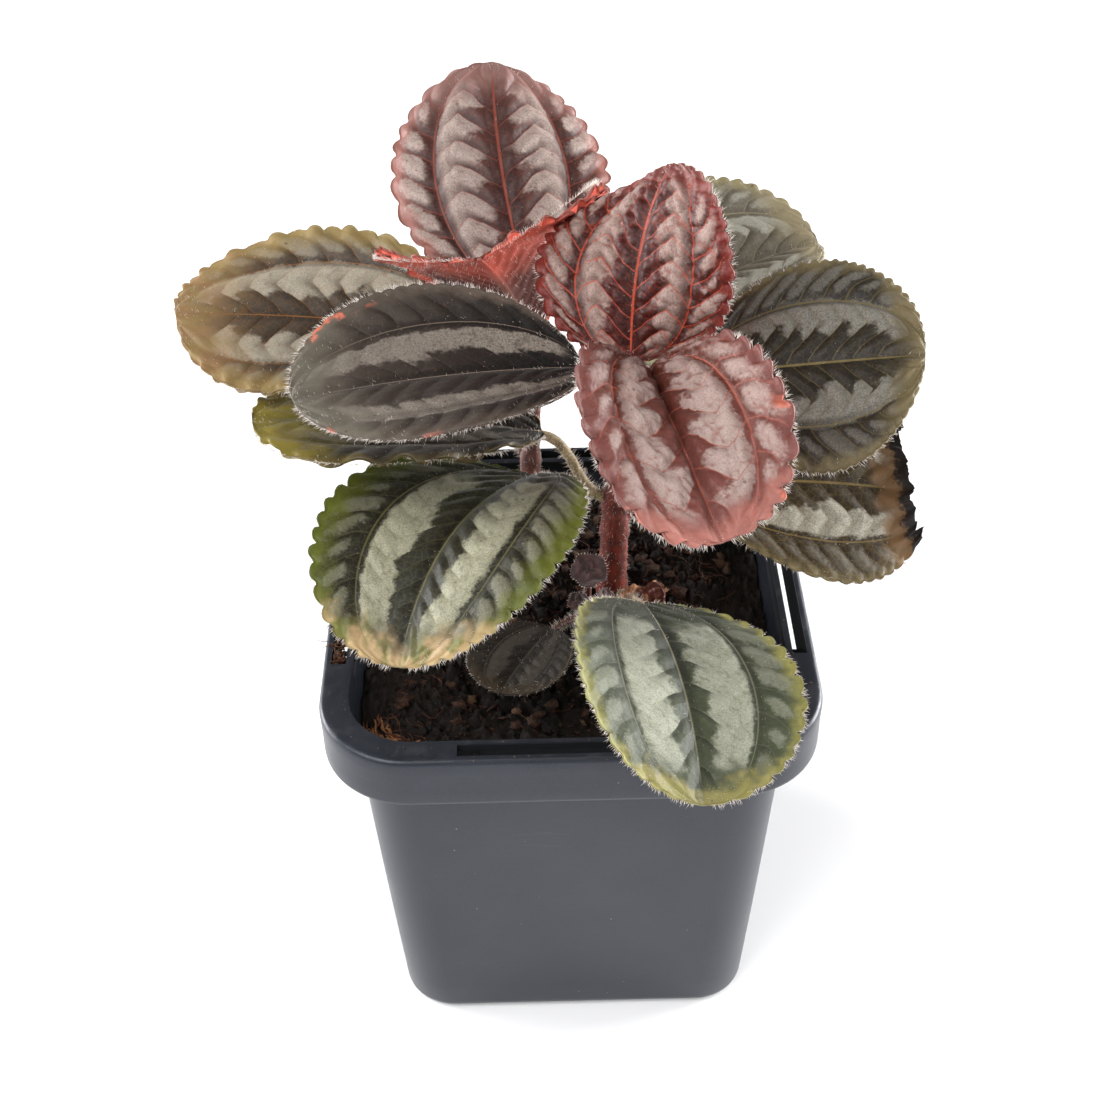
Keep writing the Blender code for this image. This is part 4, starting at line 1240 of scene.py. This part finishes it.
def plain(name, points, faces):
    mesh = bpy.data.meshes.new(name)
    mesh.from_pydata([tuple(p) for p in np.asarray(points, float) * MM], [], faces)
    return placed(name, mesh)


def prism(name, low, high):
    """A solid between two rings of points that run anticlockwise as seen from the high one."""
    n = len(low)
    walls = [(k, (k + 1) % n, n + (k + 1) % n, n + k) for k in range(n)]
    return plain(name, low + high, walls + [tuple(reversed(range(n))), tuple(range(n, 2 * n))])


def upright(name, ring, bottom, top):
    """A solid between two heights."""
    return prism(name, *([(x, y, z) for x, y in ring] for z in (bottom, top)))


def pot_tools():
    """Ribs to add to the pot, and slots and drain holes to cut from it, with their quarter turns."""
    tools = []
    for quarter in range(4):
        for place in RIB_PLACES:
            sides = (place - RIB_THICKNESS / 2, place + RIB_THICKNESS / 2)
            near, far = ([(x, y, z) for x, z in RIB_OUTLINE] for y in sides)
            tools.append((prism(f"rib_{quarter}_{place:.0f}", near, far), quarter, "UNION"))
    low, high = -SLOT_HALF_LENGTH, SLOT_HALF_LENGTH
    corners = ((SLOT_INNER, low), (SLOT_OUTER, low), (SLOT_OUTER, high), (SLOT_INNER, high))
    for quarter in range(4):
        slot = upright(f"slot_{quarter}", corners, POT_HEIGHT - RIM_THICKNESS - 0.8, POT_HEIGHT + 2)
        tools.append((slot, quarter, "DIFFERENCE"))
    turns = np.arange(DRAIN_SIDES) * 2 * pi / DRAIN_SIDES
    for x in (-DRAIN_PLACE, DRAIN_PLACE):
        for y in (-DRAIN_PLACE, DRAIN_PLACE):
            ring = [(x + DRAIN_DIAMETER / 2 * cos(a), y + DRAIN_DIAMETER / 2 * sin(a)) for a in turns]
            tools.append((upright(f"drain_{x:.0f}_{y:.0f}", ring, -2.0, 4.0), 0, "DIFFERENCE"))
    return tools


def make_pot():
    points = [p for ring in pot_rings() for p in section(*ring)]
    sides = 4 * (CORNER_STEPS + 1)
    faces = [tuple(quad) for quad in grid(len(points) // sides, sides, True, closed=True)]
    faces.append(tuple(reversed(range(sides))))
    faces.append(tuple(range(len(points) - sides, len(points))))
    pot = plain("pot_shell", points, faces)
    tools = pot_tools()
    for tool, quarter, operation in tools:
        tool.rotation_euler.z = pi / 2 * quarter
        boolean = pot.modifiers.new(tool.name, "BOOLEAN")
        boolean.operation = operation
        boolean.object = tool
        boolean.solver = "EXACT"
    bpy.context.view_layer.update()
    final = bpy.data.meshes.new_from_object(pot.evaluated_get(bpy.context.evaluated_depsgraph_get()))
    pot.modifiers.clear()
    pot.data = final
    for tool, _, _ in tools:
        bpy.data.objects.remove(tool, do_unlink=True)
    final.shade_smooth()
    final.set_sharp_from_angle(angle=radians(38))
    final.materials.clear()
    final.materials.append(pot_material())
    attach(pot, "root")
    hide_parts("pot")


def soil_height(x, y):
    """Crumbly surface, lower along the wall."""
    fine = noise.noise(Vector((x * 0.33, y * 0.33, 1.7)))
    coarse = noise.noise(Vector((x * 0.11, y * 0.11, 5.1)))
    edge = max(abs(x), abs(y)) / BODY_TOP_HALF
    return SOIL_LEVEL + SOIL_CRUMB * fine + 1.3 * SOIL_CRUMB * coarse - 1.2 * edge**4


def granules(x, y):
    """Height of the grains that make up the surface."""
    near = noise.voronoi(Vector((x * 0.42, y * 0.42, 0.3)))[0][0]
    tiny = noise.voronoi(Vector((x * 1.1, y * 1.1, 4.3)))[0][0]
    rough = noise.noise(Vector((x * 0.8, y * 0.8, 9))) + 0.5 * noise.noise(Vector((x * 1.9, y * 1.9, 2)))
    rough += 0.35 * noise.noise(Vector((x * 3.7, y * 3.7, 5)))
    return 1.2 * (1 - min(1.0, near)) ** 1.2 + 0.7 * (1 - min(1.0, tiny)) + 2.1 * rough


def ball(levels):
    """Points and faces of a round lump."""
    made = bmesh.new()
    bmesh.ops.create_icosphere(made, subdivisions=levels, radius=1.0)
    made.verts.ensure_lookup_table()
    points = np.array([v.co[:] for v in made.verts])
    faces = np.array([[v.index for v in f.verts] for f in made.faces])
    made.free()
    return points, faces


def add_lump(shape, centre, size, rng, mark, squash):
    points, faces = BALLS[0] if size < 0.8 else BALLS[1]
    spin = Matrix.Rotation(rng.uniform(0, 2 * pi), 3, Vector(rng.standard_normal(3)).normalized())
    shift = rng.uniform(0, 50)
    swell = np.array([1 + 1.1 * noise.noise(Vector(p) * 2.1 + Vector((shift, 0, 0))) for p in points])
    lump = (points * swell[:, None] * np.asarray(squash)) @ np.array(spin).T * size
    shape.add(lump + centre, faces, mark)


def add_fibre(shape, start, length, rng, mark, radius, lift=0.6):
    """A thin bent fibre lying on what is under it."""
    heading = rng.uniform(0, 2 * pi)
    points = [np.asarray(start, float)]
    for _ in range(5):
        heading += rng.normal(0, 0.55)
        rise = rng.normal(0, 0.25) * lift
        points.append(points[-1] + length / 5 * np.array([cos(heading), sin(heading), rise]))
    path = smooth_path(points, 2)
    radii = radius * (1 - 0.6 * np.abs(np.linspace(-0.6, 1, len(path))) ** 1.5)
    add_tube(shape, path, radii, 5, mark)


def add_straw(shape, half, radius, rng):
    """A straw lying along the wall, most of them in the front left corner."""
    inset = 0.7 + 4.3 * rng.uniform() ** 1.6
    turn = rng.uniform(0.95, 1.42) * pi
    reach = rng.uniform(2.5, 9.0) / radius
    rise = rng.uniform(1.5, 3.2)
    points = []
    for share in np.linspace(0, 1, 5):
        angle = turn + reach * share
        away = radius - inset + rng.normal(0, 0.18)
        x = away * cos(angle) - (half - radius)
        y = away * sin(angle) - (half - radius)
        points.append((x, y, soil_height(x, y) + rise + rng.normal(0, 0.25)))
    path = smooth_path(points, 2)
    thick = rng.uniform(0.09, 0.3)
    radii = thick * (1 - 0.5 * np.abs(np.linspace(-1, 1, len(path))) ** 2)
    add_tube(shape, path, radii, 5, 4 if rng.uniform() < 0.7 else 2)


def resampled(outline, count):
    """Points evenly spaced along a closed outline."""
    closed = np.vstack([outline, outline[:1]])
    lengths = np.concatenate([[0], np.cumsum(np.linalg.norm(np.diff(closed, axis=0), axis=1))])
    at = np.linspace(0, lengths[-1], count, endpoint=False)
    return np.stack([np.interp(at, lengths, closed[:, k]) for k in range(3)], -1)


def make_soil():
    """The crumbly top of the soil, with loose grains, fibres, chips of bark and straw on it."""
    rng = np.random.default_rng(5)
    half, radius = wall_ring(SOIL_LEVEL, 0.15)
    outline = resampled(np.array(section(half, radius, 0, 34)), SOIL_SIDES)
    points = [(0, 0, soil_height(0, 0) + 0.3)]
    for ring in range(1, SOIL_RINGS + 1):
        share = ring / SOIL_RINGS
        for x, y, _ in outline:
            px, py = x * share, y * share
            edge = 1 - 0.35 * share**8
            points.append((px, py, soil_height(px, py) - 0.15 + granules(px, py) * edge))
    points += [(x, y, SOIL_SKIRT) for x, y, _ in outline]
    k = np.arange(SOIL_SIDES)
    cap = np.stack([np.zeros(SOIL_SIDES, int), 1 + k, 1 + (k + 1) % SOIL_SIDES], -1)
    shape = Shape()
    shape.add(points, [cap, grid(SOIL_RINGS + 1, SOIL_SIDES, closed=True, start=1)])

    def somewhere():
        while True:
            x, y = rng.uniform(-half + 1.5, half - 1.5, 2)
            if max(abs(x), abs(y)) < half - 6 or np.hypot(abs(x) - half + 10, abs(y) - half + 10) < 8.5:
                return x, y

    for index in range(GRAINS):
        x, y = somewhere()
        size = rng.uniform(0.16, 0.48) if index % 12 else rng.uniform(0.8, 1.5)
        z = soil_height(x, y) + 0.9 + size * 0.35
        look = 1 if rng.uniform() < 0.5 else 0
        add_lump(shape, (x, y, z), size, rng, look, (1, rng.uniform(0.6, 1), rng.uniform(0.5, 0.9)))
    for _ in range(FIBRES):
        x, y = somewhere()
        start = (x, y, soil_height(x, y) + rng.uniform(1.2, 2.2))
        length = rng.uniform(1.5, 6)
        look = 2 if rng.uniform() < 0.85 else 3
        add_fibre(shape, start, length, rng, look, rng.uniform(0.04, 0.1))
    for _ in range(CHIPS):
        x, y = somewhere()
        size = rng.uniform(0.6, 1.3)
        look = 3 if rng.uniform() < 0.5 else 1
        add_lump(shape, (x, y, soil_height(x, y) + 1.6), size, rng, look, (1, 0.7, 0.22))
    for _ in range(STRAWS):
        add_straw(shape, half, radius, rng)
    looks = [
        soil_material("soil_peat", "#080605", "#241812", "#6b4430"),
        soil_material("soil_crumb", "#160e0a", "#5a3826", "#a87350"),
        soil_material("soil_fibre", "#3a2014", "#7a4a30", "#a8744e"),
        soil_material("soil_chip", "#443022", "#74553d", "#9c7d5c"),
        soil_material("soil_straw", "#7a4c2e", "#b98455", "#d9b28a"),
    ]
    shape.build("soil_surface", looks)


def make_debris():
    """Straw and crumbs caught in the left slot and scattered on the rim."""
    rng = np.random.default_rng(21)
    shape = Shape()
    for _ in range(SLOT_FIBRES):
        y, x, lift = rng.uniform(*SLOT_DIRT_Y), rng.uniform(-43.2, -41.2), rng.uniform(-0.6, 0.8)
        length = rng.uniform(1.5, 4.5)
        look = int(rng.integers(0, 2))
        add_fibre(shape, (x, y, 85.0 + lift), length, rng, look, rng.uniform(0.08, 0.18), 0.5)
    for _ in range(SLOT_GRAINS):
        size = rng.uniform(0.25, 0.8)
        place = (rng.uniform(-43.0, -41.3), rng.uniform(*SLOT_DIRT_Y), rng.uniform(83.2, 84.8))
        add_lump(shape, place, size, rng, 2, (1, 0.8, 0.6))
    for _ in range(RIM_GRAINS):
        side = rng.integers(0, 4)
        a, b = rng.uniform(-34, 34), rng.uniform(40.6, 44.0)
        x, y = ((a, -b), (b, a), (a, b), (-b, a))[side]
        if not (SLOT_INNER < b < SLOT_OUTER and abs(a) < SLOT_HALF_LENGTH):
            size = rng.uniform(0.08, 0.28)
            add_lump(shape, (x, y, POT_HEIGHT + 0.05), size, rng, int(rng.integers(0, 2)), (1, 0.8, 0.5))
    looks = [bpy.data.materials[name] for name in ("soil_fibre", "soil_chip", "soil_crumb")]
    shape.build("rim_debris", looks)


# Stage


def make_stage():
    flat = Graph("stage_floor")
    flat.finish(flat.mix(flat.noise(40.0), "#f6f6f7", "#f9f9fa"), 0.85)
    corners = [(x * FLOOR_HALF, y * FLOOR_HALF, 0) for x, y in ((-1, -1), (1, -1), (1, 1), (-1, 1))]
    floor = plain("floor", corners, [(0, 1, 2, 3)])
    floor.data.materials.append(flat.material)
    floor.location.z = -0.0002
    world = bpy.data.worlds.new("studio")
    world.use_nodes = True
    nodes, links = world.node_tree.nodes, world.node_tree.links
    nodes["Background"].inputs[0].default_value = (1.0, 1.0, 1.0, 1)
    coordinates = nodes.new("ShaderNodeTexCoord")
    facing = nodes.new("ShaderNodeVectorMath")
    dim = nodes.new("ShaderNodeMapRange")
    facing.operation = "DOT_PRODUCT"
    facing.inputs[1].default_value = (0.0, 0.72, 0.69)
    for index, value in enumerate((0.35, 0.85, 0.55, 0.12), 1):
        dim.inputs[index].default_value = value
    links.new(coordinates.outputs["Generated"], facing.inputs[0])
    links.new(facing.outputs["Value"], dim.inputs[0])
    links.new(dim.outputs[0], nodes["Background"].inputs[1])
    bpy.context.scene.world = world
    for name, place, aim, power, width in LAMPS:
        light = bpy.data.lights.new(name, "AREA")
        light.energy = power
        light.size = width
        lamp = placed(name, light)
        lamp.location = place
        lamp.rotation_euler = (Vector((0, 0, aim)) - Vector(place)).to_track_quat("-Z", "Y").to_euler()
    bpy.context.scene.view_settings.view_transform = "Standard"


def make_camera():
    yaw, pitch, roll = radians(CAMERA_YAW), radians(CAMERA_PITCH), radians(CAMERA_ROLL)
    forward = Vector((sin(yaw) * cos(pitch), cos(yaw) * cos(pitch), -sin(pitch)))
    right = forward.cross(Vector((0, 0, 1))).normalized()
    up = right.cross(forward)
    across = right * cos(roll) + up * sin(roll)
    above = up * cos(roll) - right * sin(roll)
    data = bpy.data.cameras.new("view")
    data.lens = FOCAL_PIXELS / PHOTO_PIXELS * SENSOR_WIDTH
    data.sensor_width = SENSOR_WIDTH
    data.clip_start = 0.01
    camera = placed("view", data)
    turn = Matrix((across, above, -forward)).transposed()
    camera.matrix_world = Matrix.Translation(Vector(CAMERA_PLACE) * MM) @ turn.to_4x4()
    bpy.context.scene.camera = camera


make_camera()
make_stage()
BALLS = (ball(1), ball(2))
HAIR_LOOK = hair_material()
STALK_LOOKS = {
    "stem_front": stalk_material("stem_front_skin_look", "#47160d", "#813224"),
    # The back stem's colours are darkened with painted shade, as it stands in shadow.
    "stem_back": stalk_material("stem_back_skin_look", "#3f1f1a", "#6d3f35"),
    "basal_shoot": stalk_material("basal_skin_look", "#4b2a26", "#704238"),
    "olive": stalk_material("olive_stalk", "#6f5f40", "#a3906a"),
    "tan": stalk_material("tan_stalk", "#7a6544", "#a08c66"),
}
make_pot()
make_soil()
make_debris()
make_dried_bits()
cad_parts["soil"].data.materials.clear()
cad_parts["soil"].data.materials.append(soil_material("soil_body", "#1a1310", "#33251d", "#5c4434"))
for stem_name in STEMS:
    make_stem(stem_name)
make_bud()
for leaf_number, (leaf_name, leaf_entry) in enumerate(LEAVES.items()):
    make_leaf(leaf_number, leaf_name, leaf_entry)
